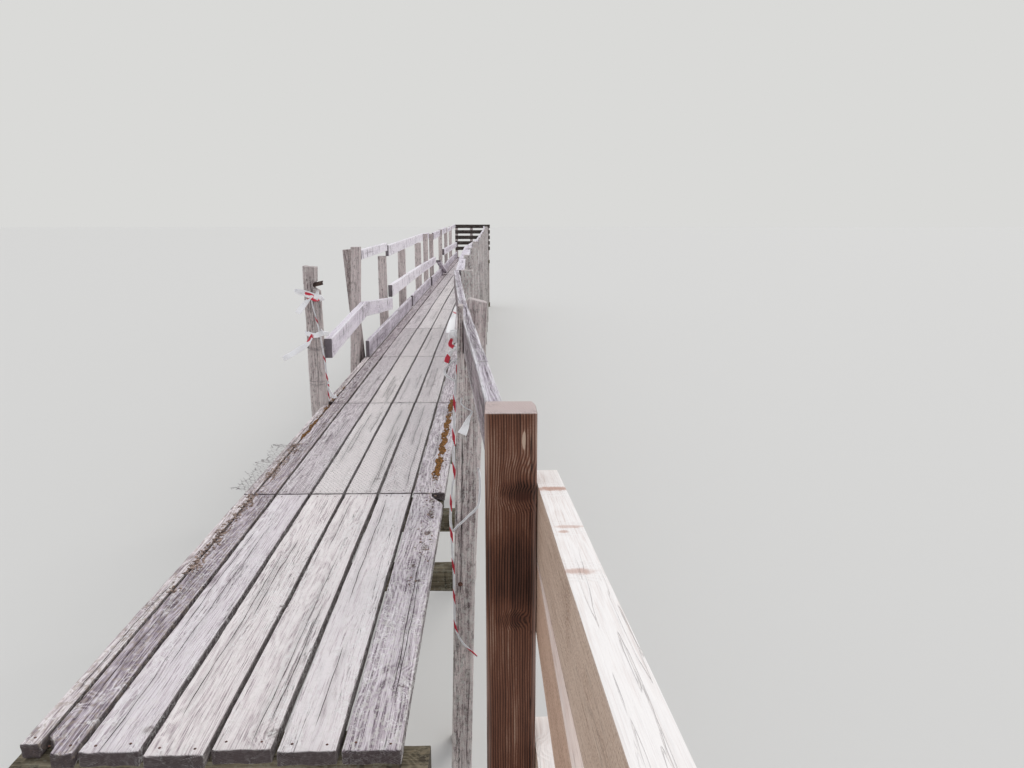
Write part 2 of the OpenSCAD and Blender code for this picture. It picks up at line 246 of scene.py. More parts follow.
    def rings(self, x):
        """Across, up, wear and darkness of every point, as tables of stations and ring points."""
        radii = []
        for c in range(4):
            wave = ripple(x, self.seed * 11 + c, 0.5)
            chips = np.clip(ripple(x, self.seed * 13 + c, 0.23) - 0.55, 0, 1)
            radii.append(np.clip(self.radius * (1 + self.worn * (wave + 3 * chips)), 1.2 * MM,
                                 0.42 * min(self.width, self.depth)))
        rows = self.section()
        table = np.zeros((4, len(x), len(rows)))
        for n, (kind, side, place, number, part) in enumerate(rows):
            point = (self.arris_point(side, number, radii[side]) if kind == "arc"
                     else self.face_point(x, n, side, place, number, part))
            for column, value in zip(table, point):
                column[:, n] = value
        return table

    def shape(self, x, across, up, edge):
        """Rounds the ends, takes away what is missing, and warps and bends the timber."""
        half_w, half_d = self.width / 2, self.depth / 2
        for end, inner in ((0, 1), (-1, -2)):
            across[end] *= 1 - self.end_round / half_w
            up[end] *= 1 - self.end_round / half_d
            edge[end] = np.maximum(edge[end], 0.6)
            edge[inner] = np.maximum(edge[inner], 0.3)
        if self.inset:
            left, right = self.inset(x)
            squeeze = (self.width - left - right) / self.width
            across = -half_w + left[:, None] + (across + half_w) * squeeze[:, None]
        if self.planed:
            wide, deep = self.planed
            across = np.minimum(across, half_w - np.clip((up - (half_d - wide)) / wide, 0, 1) * deep)
        shift = self.warp * np.sin(math.pi * x / self.length)
        across = across + (shift * ripple(x, self.seed * 37, 1.9, 2))[:, None]
        if self.bend:
            place, sideways = self.bend
            across = across + (sideways * np.interp(x / self.length, (0, place, 1), (0, 1, 0)))[:, None]
        return across, up + (shift * ripple(x, self.seed * 41, 1.9, 2))[:, None]

    def splinter(self, x, across, up):
        """How far along each point lies, when the two ends are drawn back in teeth."""
        along = np.repeat(x[:, None], across.shape[1], axis=1)
        for end, (distance, way) in enumerate(((x, 1), (self.length - x, -1))):
            if self.ragged[end]:
                teeth = 0.5 + 0.5 * ripple(across[0] + up[0] * 1.7, self.seed * 43 + end, 0.09, 3)
                fade = np.clip(1 - distance / max(0.05, 2 * self.ragged[end]), 0, 1)
                along += way * self.ragged[end] * teeth[None, :] * fade[:, None]
        return along

    def place(self, along, across, up):
        """Where the points lie in the space that the eight corners hold."""
        u, v, w = np.clip(along / self.length, 0, 1), across / self.width + 0.5, up / self.depth + 0.5
        points = 0
        for i, fu in ((0, 1 - u), (1, u)):
            for j, fv in ((0, 1 - v), (1, v)):
                for k, fw in ((0, 1 - w), (1, w)):
                    points = points + (fu * fv * fw)[..., None] * self.corners[i, j, k]
        return points

    def build(self):
        """Points, quads, triangles and the points' layers for the timber's material."""
        x = self.stations()
        across, up, edge, dark = self.rings(x)
        across, up = self.shape(x, across, up, edge)
        along = self.splinter(x, across, up)
        count, ring = along.shape
        near_end = np.minimum(x, self.length - x)[:, None] + 0 * along
        sawn = 0 * edge
        sawn[0] = sawn[-1] = 1.0
        points = self.place(along, across, up).reshape(-1, 3)
        grain = np.stack([along, across - self.pith[0], up - self.pith[1]], axis=-1).reshape(-1, 3)
        wear = np.stack([edge, dark, np.exp(-near_end / 0.1), sawn], axis=-1).reshape(-1, 4)

        s, n = np.meshgrid(np.arange(count - 1), np.arange(ring), indexing="ij")
        m = (n + 1) % ring
        quads = np.stack([s * ring + n, s * ring + m, (s + 1) * ring + m, (s + 1) * ring + n], axis=-1)
        quads, tris = [quads.reshape(-1, 4)], []
        a = np.arange(ring)
        b = (a + 1) % ring
        for start in (0, (count - 1) * ring):
            rim, base = start + a, len(points)
            points, grain = (np.vstack([all_of, (all_of[rim] + all_of[rim].mean(0)) / 2, all_of[rim].mean(0)])
                             for all_of in (points, grain))
            wear = np.vstack([wear, np.tile([0.0, 0.0, 1.0, 1.0], (ring + 1, 1))])
            band = np.stack([rim[b], rim[a], base + a, base + b], axis=-1)
            fan = np.stack([base + b, base + a, np.full(ring, base + ring)], axis=-1)
            quads.append(band[:, ::-1] if start else band)
            tris.append(fan[:, ::-1] if start else fan)
        quads, tris = np.vstack(quads), np.vstack(tris)
        axes = [np.diff(self.corners.mean(others), axis=0)[0] for others in ((1, 2), (0, 2), (0, 1))]
        if np.linalg.det(axes) < 0:
            quads, tris = quads[:, ::-1], tris[:, ::-1]
        grain = grain + (random.Random(self.seed * 53).uniform(0, 60), 0, 0)
        tint = np.tile(self.tint, (len(points), 1))
        return points, quads, tris, {"grain": grain, "wear": wear, "tint": tint}


# Faces that meet at a wider angle than this keep a sharp edge between them.
SHARP = math.radians(42)


def put(name, data):
    """Adds an object that holds a mesh, curve, light or camera to the scene."""
    obj = bpy.data.objects.new(name, data)
    bpy.context.scene.collection.objects.link(obj)
    return obj


def plain_mesh(name, points, faces=()):
    mesh = bpy.data.meshes.new(name)
    mesh.from_pydata([tuple(point) for point in points], [], list(faces))
    return mesh


def add_layer(mesh, name, values):
    """Gives every point of a mesh a vector or a colour that a material or a tree of nodes reads."""
    kind, field = ("FLOAT_VECTOR", "vector") if values.shape[1] == 3 else ("FLOAT_COLOR", "color")
    layer = mesh.attributes.new(name, kind, "POINT")
    layer.data.foreach_set(field, np.asarray(values, dtype=np.float32).ravel())


def timber_mesh(name, points, quads, tris, layers):
    mesh = bpy.data.meshes.new(name)
    mesh.vertices.add(len(points))
    mesh.vertices.foreach_set("co", np.asarray(points, dtype=np.float32).ravel())
    loops = np.concatenate([quads.ravel(), tris.ravel()]).astype(np.int32)
    mesh.loops.add(len(loops))
    mesh.loops.foreach_set("vertex_index", loops)
    totals = np.concatenate([np.full(len(quads), 4), np.full(len(tris), 3)]).astype(np.int32)
    mesh.polygons.add(len(totals))
    mesh.polygons.foreach_set("loop_start", np.concatenate([[0], np.cumsum(totals)[:-1]]).astype(np.int32))
    mesh.polygons.foreach_set("loop_total", totals)
    for key, values in layers.items():
        add_layer(mesh, key, values)
    mesh.update(calc_edges=True)
    mesh.validate()
    mesh.polygons.foreach_set("use_smooth", np.ones(len(mesh.polygons), dtype=bool))
    mesh.set_sharp_from_angle(angle=SHARP)
    return mesh


def make_timbers(name, timbers, slot, node=None):
    """Joins finished boards in one piece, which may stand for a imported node."""
    points, quads, tris, layers = zip(*(timber.build() for timber in timbers))
    starts = np.cumsum([0] + [len(p) for p in points])
    mesh = timber_mesh(name, np.vstack(points), np.vstack([q + start for q, start in zip(quads, starts)]),
                       np.vstack([t + start for t, start in zip(tris, starts)]),
                       {key: np.vstack([layer[key] for layer in layers]) for key in layers[0]})
    mesh.materials.append(MATERIALS[slot])
    obj = put(name, mesh)
    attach(obj, BODY)
    if node:
        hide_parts(node)


def dress(node, timbers):
    """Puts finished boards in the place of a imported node."""
    make_timbers(node + "_timber", timbers, NODE_SLOT[node], node)


def linear(code):
    """An sRGB hex colour as a linear one."""
    values = [int(code[k : k + 2], 16) / 255 for k in (1, 3, 5)]
    return tuple(v / 12.92 if v <= 0.04045 else ((v + 0.055) / 1.055) ** 2.4 for v in values) + (1.0,)


def add(tree, kind, inputs=(), out=0, **settings):
    """Adds a node with its settings, fills or links its inputs, and returns one of its outputs."""
    node = tree.nodes.new(kind)
    for key, value in settings.items():
        setattr(node, key, value)
    for key, value in inputs.items() if isinstance(inputs, dict) else enumerate(inputs):
        if isinstance(value, bpy.types.NodeSocket):
            tree.links.new(value, node.inputs[key])
        else:
            node.inputs[key].default_value = value
    return node.outputs[out] if node.outputs else node


MATH, MAP, MIX, NOISE, PLACE, SPLIT, PARTS, VECTOR, READ, WHERE, SURFACE, BUMP, OUTPUT = (
    "ShaderNode" + kind for kind in (
        "Math", "MapRange", "Mix", "TexNoise", "Mapping", "SeparateXYZ", "SeparateColor", "VectorMath",
        "Attribute", "TexCoord", "BsdfPrincipled", "Bump", "OutputMaterial"))
SMOOTH = {"interpolation_type": "SMOOTHSTEP"}
# A mix of colours takes its share, first and second colour at inputs 0, 6 and 7, and gives output 2.
COLOUR = {"data_type": "RGBA", "clamp_factor": True}
PLUS, MINUS, TIMES, TIMES_PLUS, LARGER, LENGTH = ({"operation": name} for name in (
    "ADD", "SUBTRACT", "MULTIPLY", "MULTIPLY_ADD", "MAXIMUM", "LENGTH"))


def new_material(name):
    material = bpy.data.materials.new(name)
    material.use_nodes = True
    material.node_tree.nodes.clear()
    return material, material.node_tree


# Each unevenness of the wood: its scale along and across the grain (waves in a metre), detail,
# roughness and a shift. Bundles of fibres are 8 mm and 2.5 mm wide, lichen crusts 15 mm and the saw's
# tufts 4 mm. The lines of the scratches are 1 to 3 mm wide.
FIELDS = {
    "drift": ((1.1, 4.0, 4.0), 2.0, 0.5, 0.0),
    "swirl": ((6.0, 26.0, 26.0), 1.0, 0.5, 3.0),
    "strand": ((2.6, 115.0, 115.0), 3.0, 0.6, 1.0),
    "fibre": ((8.0, 400.0, 400.0), 3.0, 0.65, 5.0),
    "stain": ((1.7, 9.0, 9.0), 4.0, 0.62, 7.0),
    "blotch": ((22.0, 44.0, 44.0), 4.0, 0.7, 2.0),
    "check": ((1.5, 52.0, 52.0), 2.5, 0.55, 9.0),
    "gate": ((1.2, 15.0, 15.0), 1.0, 0.5, 4.0),
    "crust": ((48.0, 62.0, 62.0), 5.0, 0.66, 6.0),
    "scratch": ((16.0, 20.0, 20.0), 3.0, 0.55, 8.0),
    "grit": ((210.0, 260.0, 260.0), 2.0, 0.7, 5.5),
}
KNOTS_A_METRE = 3.4

# What a look doesn't state: how strong each mark is, how wide the rings and checks are, and colours.
PLAIN_LOOK = {
    "tone": 0.0, "strand": 0.9, "fibre": 0.8, "rings": 0.2, "stain": 0.8, "drips": 0.0, "top": 0.0,
    "grit": 0.2, "ring": 0.0052, "wander": 0.07, "knots": 0.6, "placed_knots": (), "zones": (),
    "check_width": 0.009, "check_gate": 0.47, "checks": 0.8, "scratches": 0.0,
    "painted_shade": 0.0, "painted_shade_colour": "#a89c94", "painted_gap_shade": 0.0, "edge": 0.35, "end": 0.35,
    "blots": 0.0, "blot_colour": "#e4dfda", "lichen_colour": "#c3c4bd",
    "relief": 0.55, "roughness": 0.8, "gloss": 0.3,
}
MOSS_COLOUR, SCRATCH_COLOUR = "#80603a", "#f7f5f4"


def spot_distance(tree, where, spot, unevenness, amount):
    """How many reaches a place lies off a spot, made uneven by a field."""
    away = add(tree, VECTOR, (where, spot[:3]), **MINUS)
    away = add(tree, VECTOR, (away, spot[3:]), operation="DIVIDE")
    away = add(tree, VECTOR, (away,), "Value", **LENGTH)
    return add(tree, MATH, (unevenness, amount, away), **TIMES_PLUS)


def thin_lines(tree, noise, full, gone, strength):
    """Thin lines where a noise crosses its middle."""
    off = add(tree, MATH, (noise, 0.5), **MINUS)
    off = add(tree, MATH, (off,), operation="ABSOLUTE")
    return add(tree, MAP, (off, full, gone, strength, 0.0), **SMOOTH)


def knot_masks(tree, look, grain, where, field):
    """The cores of knots every 25 cm or so and of those that are placed, and the wood round them."""
    knot = add(tree, "ShaderNodeTexVoronoi", {"Vector": grain, "Scale": KNOTS_A_METRE}, "Distance")
    around = add(tree, MAP, (knot, 0.02, 0.22, 1.0, 0.0), **SMOOTH)
    core = add(tree, MAP, (knot, 0.05, 0.08, 1.0, 0.0), **SMOOTH)
    core = add(tree, MATH, (core, look["knots"]), **TIMES)
    for *spot, strength in look["placed_knots"]:
        away = spot_distance(tree, where, spot, field["crust"], 1.8)
        dark = add(tree, MAP, (away, 1.35, 2.3, strength, 0.0), **SMOOTH)
        core = add(tree, MATH, (core, dark), **LARGER)
        bent = add(tree, MAP, (away, 1.5, 5.0, 1.0, 0.0), **SMOOTH)
        around = add(tree, MATH, (around, bent), **LARGER)
    return core, around


def ring_mask(tree, look, grain, field, around_knot):
    """Rings 5 mm apart, drawn a little coarser than the 3 mm of the real ones so that they show."""
    across, up = add(tree, SPLIT, (grain,)).node.outputs[1:]
    drift = add(tree, SPLIT, (field["drift"].node.outputs["Color"],)).node.outputs
    across = add(tree, MATH, (drift["X"], look["wander"], across), **TIMES_PLUS)
    up = add(tree, MATH, (drift["Y"], look["wander"], up), **TIMES_PLUS)
    reach = add(tree, "ShaderNodeCombineXYZ", (0.0, across, up))
    reach = add(tree, VECTOR, (reach,), "Value", **LENGTH)
    reach = add(tree, MATH, (around_knot, 0.014, reach), **TIMES_PLUS)
    reach = add(tree, MATH, (field["swirl"], 0.006, reach), **TIMES_PLUS)
    wave = add(tree, MATH, (reach, 2 * math.pi / look["ring"]), **TIMES)
    wave = add(tree, MATH, (wave,), operation="SINE")
    wave = add(tree, MATH, (wave, 0.5, 0.5), **TIMES_PLUS)
    return add(tree, MATH, (wave, 1.6), operation="POWER")


def drip_mask(tree, where, upright):
    """Rain's runs down the upright faces, whatever way the grain lies.

    They are drawn 30 mm apart, twice as coarse as the real ones, so that they show."""
    drip = add(tree, PLACE, (where, (0, 0, 0), (0, 0, 0), (34.0, 34.0, 3.5)))
    drip = add(tree, NOISE, {"Vector": drip, "Scale": 1.0, "Detail": 3.0, "Roughness": 0.6})
    drip = add(tree, MAP, (drip, 0.52, 0.64, 0.0, 1.0), **SMOOTH)
    wet = add(tree, NOISE, {"Vector": where, "Scale": 4.5, "Detail": 2.0})
    wet = add(tree, MAP, (wet, 0.44, 0.6, 0.15, 1.0), **SMOOTH)
    drip = add(tree, MATH, (drip, wet), **TIMES)
    return add(tree, MATH, (drip, upright), **TIMES)


def timber_material(name, look):
    """Softwood with rings round a pith, drying checks, knots and a weathered skin.

    The rings follow the distance from the pith in the board's own section, so that faces show
    grain along the board and sawn ends show the rings. look holds its colours and how strong
    each mark is."""
    look = {**PLAIN_LOOK, "sawn_colour": look["end_colour"], **look}
    material, tree = new_material(name)
    grain = add(tree, READ, out="Vector", attribute_name="grain")
    wear = add(tree, READ, out="Color", attribute_name="wear")
    sawn = wear.node.outputs["Alpha"]
    edge, crack, near_end = add(tree, PARTS, (wear,)).node.outputs
    tint = add(tree, READ, out="Color", attribute_name="tint")
    moss = tint.node.outputs["Alpha"]
    tone, warmth, lichen = add(tree, PARTS, (tint,)).node.outputs
    where = add(tree, WHERE, out="Object")
    facing = add(tree, SPLIT, (add(tree, "ShaderNodeNewGeometry", out="Normal"),)).node.outputs
    upward = add(tree, MAP, (facing["Z"], 0.35, 0.85, 0.0, 1.0), **SMOOTH)
    upright = add(tree, MATH, (1.0, upward), **MINUS)
    # Painted shade: faces that look left, towards -X, are darkened as if out of the light.
    painted_shade = add(tree, MAP, (facing["X"], -0.7, -0.3, look["painted_shade"], 0.0), **SMOOTH)
    # Faces that do not look up: on the deck planks they get painted shade for the dark gaps between the
    # boards.
    painted_gap_shade = add(tree, MAP, (facing["Z"], 0.25, 0.7, look["painted_gap_shade"], 0.0), **SMOOTH)
    field = {}
    for key, (scale, detail, roughness, shift) in FIELDS.items():
        spot = add(tree, PLACE, (grain, (shift, 2 * shift, 0.7 * shift), (0, 0, 0), scale))
        field[key] = add(tree, NOISE, {
            "Vector": spot, "Scale": 1.0, "Detail": detail, "Roughness": roughness})
    core, around_knot = knot_masks(tree, look, grain, where, field)
    ring = ring_mask(tree, look, grain, field, around_knot)
    check = thin_lines(tree, field["check"], 0.002, look["check_width"], 1.0)
    gate = add(tree, MAP, (field["gate"], look["check_gate"], 0.6, 0.0, 1.0), **SMOOTH)
    check = add(tree, MATH, (check, gate), **TIMES)
    grit = add(tree, MATH, (field["grit"], 0.5), **MINUS)
    grit = add(tree, MATH, (grit, upright), **TIMES)

    tone = add(tree, MATH, (tone, look["tone"]), **PLUS)
    # The top strength lifts the tone of faces that look up: painted light on the tops.
    for value, middle, strength in (
            (field["strand"], 0.5, look["strand"]), (field["fibre"], 0.5, look["fibre"]),
            (ring, 0.4, look["rings"]), (field["stain"], 0.5, look["stain"]),
            (drip_mask(tree, where, upright), 0.0, -look["drips"]), (upward, 0.0, look["top"]),
            (grit, 0.0, look["grit"])):
        value = add(tree, MATH, (value, middle), **MINUS)
        tone = add(tree, MATH, (value, strength, tone), **TIMES_PLUS)
    for *spot, strength in look["zones"]:
        away = spot_distance(tree, where, spot, field["blotch"], 0.9)
        zone = add(tree, MAP, (away, 0.8, 1.7, strength, 0.0), **SMOOTH)
        tone = add(tree, MATH, (tone, zone), **PLUS)
    ramp = add(tree, "ShaderNodeValToRGB", (tone,))
    stops = ramp.node.color_ramp.elements
    while len(stops) < len(look["colours"]):
        stops.new(0.5)
    for stop, (place, code) in zip(stops, look["colours"]):
        stop.position = place
        stop.color = linear(code)
    hue = add(tree, MIX, {0: warmth, 6: linear(look["cool"]), 7: linear(look["warm"])}, 2, **COLOUR)
    colour = add(tree, MIX, {0: 1.0, 6: ramp, 7: hue}, 2, blend_type="MULTIPLY", **COLOUR)
    # Painted shade: faces that look left are multiplied by the painted shade colour.
    shade = linear(look["painted_shade_colour"])
    colour = add(tree, MIX, {0: painted_shade, 6: colour, 7: shade}, 2, blend_type="MULTIPLY", **COLOUR)
    # Painted shade: faces that do not look up are mixed towards the end colour, which darkens the gaps
    # between the deck planks.
    colour = add(tree, MIX, {0: painted_gap_shade, 6: colour, 7: linear(look["end_colour"])}, 2, **COLOUR)

    # Rain-washed edges are paler, and ends, knots, crusts and checks have their own colours.
    washed = add(tree, MAP, (field["strand"], 0.3, 0.6, 0.0, 1.0), **SMOOTH)
    pale_edge = add(tree, MATH, (edge, look["edge"]), **TIMES)
    pale_edge = add(tree, MATH, (pale_edge, washed), **TIMES)
    end_dark = add(tree, MATH, (near_end, 3.0), operation="POWER")
    end_dark = add(tree, MATH, (end_dark, look["end"]), **TIMES)
    spots = add(tree, MAP, (field["blotch"], 0.55, 0.62, 0.0, look["blots"]), **SMOOTH)
    crust = add(tree, MAP, (field["crust"], 0.5, 0.58, 0.0, 1.0), **SMOOTH)
    crust = add(tree, MATH, (crust, lichen), **TIMES)
    cover = add(tree, MATH, (moss, 0.35, field["crust"]), **TIMES_PLUS)
    cover = add(tree, MAP, (cover, 0.62, 0.72, 0.0, 1.0), **SMOOTH)
    cover = add(tree, MATH, (cover, moss), **TIMES)
    cut = add(tree, MATH, (ring, -0.225, 0.9), **TIMES_PLUS)
    cut = add(tree, MATH, (cut, sawn), **TIMES)
    scratch = thin_lines(tree, field["scratch"], 0.004, 0.028, look["scratches"])
    bare = add(tree, MAP, (field["gate"], 0.42, 0.56, 0.0, 1.0), **SMOOTH)
    scratch = add(tree, MATH, (scratch, bare), **TIMES)
    crack = add(tree, MATH, (crack, 0.92), **TIMES)
    dark = add(tree, MATH, (check, look["checks"]), **TIMES)
    dark = add(tree, MATH, (dark, crack), **LARGER)
    for mask, code in (
            (pale_edge, look["edge_colour"]), (core, look["knot_colour"]), (end_dark, look["end_colour"]),
            (spots, look["blot_colour"]), (scratch, SCRATCH_COLOUR), (crust, look["lichen_colour"]),
            (cover, MOSS_COLOUR), (cut, look["sawn_colour"]), (dark, look["crack_colour"])):
        colour = add(tree, MIX, {0: mask, 6: colour, 7: linear(code)}, 2, **COLOUR)

    height = 0.5
    for value, strength in ((field["strand"], 0.55), (field["fibre"], 0.6), (ring, 0.35), (check, -1.1),
                            (crust, 0.5), (core, -0.3)):
        height = add(tree, MATH, (value, strength, height), **TIMES_PLUS)
    bump = add(tree, BUMP, {"Height": height, "Strength": look["relief"], "Distance": 2.2 * MM})
    rough = add(tree, MATH, (field["strand"], 0.15, look["roughness"]), **TIMES_PLUS)
    shader = add(tree, SURFACE, {
        "Base Color": colour, "Roughness": rough, "Normal": bump, "Specular IOR Level": look["gloss"]})
    add(tree, OUTPUT, (shader,))
    return material


# A placed knot or a zone has x, y and z on the bridge, a reach along each of them and a strength.
LOOKS = {
    # Sawn larch boards walked grey: purple-grey on the left, beige-grey where the traffic goes.
    "old_plank": {
        "colours": ((0.04, "#6a5e64"), (0.3, "#bdb3b7"), (0.52, "#ece5e5"), (0.78, "#fffdfb")),
        "cool": "#e2dde6", "warm": "#fffaf6", "edge": 0.3, "edge_colour": "#ded6d6",
        "knot_colour": "#5d4c49", "end": 0.15, "end_colour": "#4e4344", "crack_colour": "#2f2728",
        # Upright sides are mixed most of the way to the dark end colour: painted shade in the gaps between
        # the planks.
        "painted_gap_shade": 0.85, "blots": 0.3, "blot_colour": "#ece7e4", "lichen_colour": "#d9d6d2",
        "strand": 1.15, "fibre": 2.1, "rings": 0.3, "stain": 0.4, "relief": 0.9, "knots": 0.45,
        "scratches": 0.6, "check_width": 0.007, "checks": 0.65,
        "placed_knots": (
            (-0.006, 0.79, 1.6, 0.02, 0.012, 0.05, 0.8), (0.174, -0.007, 1.6, 0.022, 0.02, 0.05, 0.7),
            (-0.218, 0.017, 1.6, 0.02, 0.02, 0.05, 0.6), (0.5, 1.98, 1.6, 0.016, 0.03, 0.05, 0.9),
            (0.509, 1.8, 1.6, 0.014, 0.04, 0.05, 0.9), (0.521, 1.53, 1.6, 0.018, 0.03, 0.05, 0.95),
            (0.517, 1.35, 1.6, 0.012, 0.035, 0.05, 0.9), (0.48, 1.153, 1.6, 0.012, 0.016, 0.05, 0.9),
            (0.518, 1.0, 1.6, 0.016, 0.014, 0.05, 0.8), (0.54, 0.23, 1.6, 0.012, 0.01, 0.05, 0.7)),
    },
    # Sun-bleached spruce rails, lavender grey, with drips and checks that run down and along, and painted
    # warm shade on the faces that look left.
    "old_rail": {
        "colours": ((0.04, "#5f555c"), (0.28, "#b3abb4"), (0.52, "#e3dee6"), (0.88, "#fbf9fc")),
        "cool": "#f6f3fb", "warm": "#fff9f4", "painted_shade": 1.0, "painted_shade_colour": "#e6dcd7", "edge": 0.85,
        "edge_colour": "#f7f5f8", "knot_colour": "#655a61", "end": 0.2, "end_colour": "#5b5057",
        "crack_colour": "#3a3237", "sawn_colour": "#574d51", "strand": 0.7, "rings": 0.14,
        "stain": 0.7, "drips": 1.0, "relief": 0.5, "knots": 0.5,
        "placed_knots": (
            (0.708, 1.79, 2.7, 0.03, 0.005, 0.02, 0.75), (0.696, 2.126, 2.7, 0.008, 0.012, 0.02, 0.7),
            (0.783, 0.708, 2.7, 0.012, 0.012, 0.02, 0.8), (0.826, 0.32, 2.7, 0.02, 0.01, 0.02, 0.7)),
    },
    # Split larch posts with upright grain, pinkish grey, with green algae and grey lichen crusts, and painted
    # greenish shade on the faces that look left.
    "old_post": {
        "colours": ((0.05, "#5f5355"), (0.3, "#b2a6a8"), (0.55, "#dcd2d3"), (0.9, "#f8f2f1")),
        "cool": "#eef0ea", "warm": "#fff3f1", "painted_shade": 0.6, "painted_shade_colour": "#d8d6c6",
        "edge_colour": "#d6cfcd", "knot_colour": "#463839", "end": 0.1, "end_colour": "#8a7d79",
        "crack_colour": "#262021", "sawn_colour": "#c9bfbd", "lichen_colour": "#d6d6d1", "strand": 1.1,
        "fibre": 1.0, "relief": 0.8, "check_gate": 0.45, "drips": 0.25, "blots": 0.55,
        "blot_colour": "#665f5c", "grit": 0.8,
    },
    # Brown-grey boards of the closed end.
    "barrier_board": {
        "colours": ((0.1, "#1c1615"), (0.36, "#2f2725"), (0.62, "#443a37"), (0.92, "#75665f")),
        "cool": "#f0e8e8", "warm": "#fff2ea", "edge": 0.1, "edge_colour": "#6f625d", "drips": 0.3,
        "knot_colour": "#3f3130", "end": 0.3, "end_colour": "#4a3c3a", "crack_colour": "#241c1b",
    },
    # Frame timbers in the shade, damp and greenish.
    "old_beam": {
        "colours": ((0.1, "#37322c"), (0.36, "#666056"), (0.62, "#867f72"), (0.92, "#b0a99b")),
        "cool": "#e6e9d8", "warm": "#fff1e0", "edge": 0.3, "edge_colour": "#9c9484",
        "knot_colour": "#2e2721", "end": 0.3, "end_colour": "#3c352d", "crack_colour": "#1c1815",
        "lichen_colour": "#9fa090", "drips": 0.3,
    },
    # Planed pine posts, stained red-brown under pressure, worn paler on the head and edges.
    "brown_post": {
        "colours": ((0.06, "#281914"), (0.36, "#5c4034"), (0.6, "#7c5847"), (1.0, "#c6b8a8")),
        "cool": "#f6e9e6", "warm": "#ffefe6", "edge": 0.5, "edge_colour": "#c9b2a8",
        "knot_colour": "#4b2c23", "end": 0.0, "end_colour": "#b9a8a6", "crack_colour": "#241818",
        "sawn_colour": "#d3c3c0", "strand": 0.5, "fibre": 0.5, "rings": -0.36, "stain": 0.9,
        "ring": 0.0066, "tone": -0.04, "wander": 0.03, "relief": 0.6, "knots": 0.0,
        "placed_knots": (
            (0.928, -0.364, 2.497, 0.02, 0.03, 0.012, 0.75), (0.91, -0.364, 2.172, 0.011, 0.03, 0.008, 0.6)),
        "zones": (
            (0.924, -0.364, 2.512, 0.05, 0.05, 0.03, -0.24), (0.905, -0.364, 2.172, 0.04, 0.05, 0.025, -0.16),
            (0.9, -0.364, 2.3, 0.25, 0.14, 0.1, -0.22), (0.9, -0.364, 1.0, 0.3, 0.2, 1.0, -0.1),
            (0.9, -0.364, 2.62, 0.3, 0.2, 0.06, 0.08), (0.931, -0.364, 2.636, 0.004, 0.03, 0.022, 1.2)),
    },
    # New sawn spruce boards, with painted light that makes their tops almost white, and painted shade on the
    # faces that look left.
    "new_rail": {
        "colours": ((0.06, "#c4b4aa"), (0.32, "#e6deda"), (0.56, "#f5f1ef"), (0.9, "#fdfcfb")),
        "cool": "#fcfaf9", "warm": "#f9eae2", "painted_shade": 1.0, "painted_shade_colour": "#dbc6b4", "edge": 0.15,
        "edge_colour": "#fbf9f8", "knot_colour": "#b98873", "end": 0.1, "end_colour": "#d9c8ae",
        "crack_colour": "#b5a496", "fibre": 1.7, "stain": 0.7, "checks": 0.2, "relief": 0.8, "grit": 2.6,
        # The top strength paints light on the upper faces.
        "gloss": 0.35, "roughness": 0.62, "knots": 0.0, "top": 0.28,
        "placed_knots": (
            (1.0, -0.964, 2.6, 0.024, 0.014, 0.05, 0.6), (1.003, -0.402, 2.53, 0.05, 0.02, 0.02, 0.8),
            (1.006, -0.712, 2.564, 0.03, 0.01, 0.02, 0.5), (0.992, -0.745, 2.568, 0.01, 0.008, 0.02, 0.6)),
        "zones": (
            (0.97, -0.55, 2.5, 0.03, 0.45, 0.12, -0.1), (0.97, -1.0, 2.55, 0.03, 0.05, 0.09, -0.22)),
    },
}
MATERIALS = {slot: timber_material(slot + "_wood", look) for slot, look in LOOKS.items()}


def fineness(s, near=0.03):
    """Distance between a board's stations, in metres: fine near the entrance, coarse far off."""
    return near if s < 5 else 2 * near if s < 11 else 4 * near


def parts_in_order(node, axis=0):
    boards = (corners_of(part) for part in loose_parts(node) if len(part) >= 8)
    return sorted(boards, key=lambda corners: corners[..., axis].mean())


def random_grooves(rng, length, count, sides=(0, 1, 2, 3), deepest=0.012, widest=0.004, longest=0.9):
    """Drying cracks of chance lengths and places on some of a timber's sides."""
    grooves = []
    for _ in range(count):
        run = rng.uniform(0.25, longest) * min(length, 1.6)
        start = rng.uniform(-0.1, 1) * (length - run)
        grooves.append({
            "side": rng.choice(sides), "place": rng.uniform(-0.7, 0.7), "from": start, "to": start + run,
            "width": rng.uniform(0.4, 1) * widest, "depth": rng.uniform(0.4, 1) * deepest})
    return grooves


# Tone and warmth of the strip and planks A to F, the painted light that changes their tone under the netting,
# where its wires and the handrail's shadow darken them, and the nails' places on all of them.
PLANK_TONES = (0.44, 0.34, 0.6, 0.7, 0.72, 0.8, 0.38)
NETTED_PAINTED_LIGHT = (0.0, -0.04, -0.02, 0.3, 0.34, 0.0, 0.0)
PLANK_WARMTH = (0.5, 0.1, 0.35, 0.6, 0.6, 0.5, 0.2)
STRIP, PLANK_A, PLANK_F = 0, 1, 6
NAILS = []


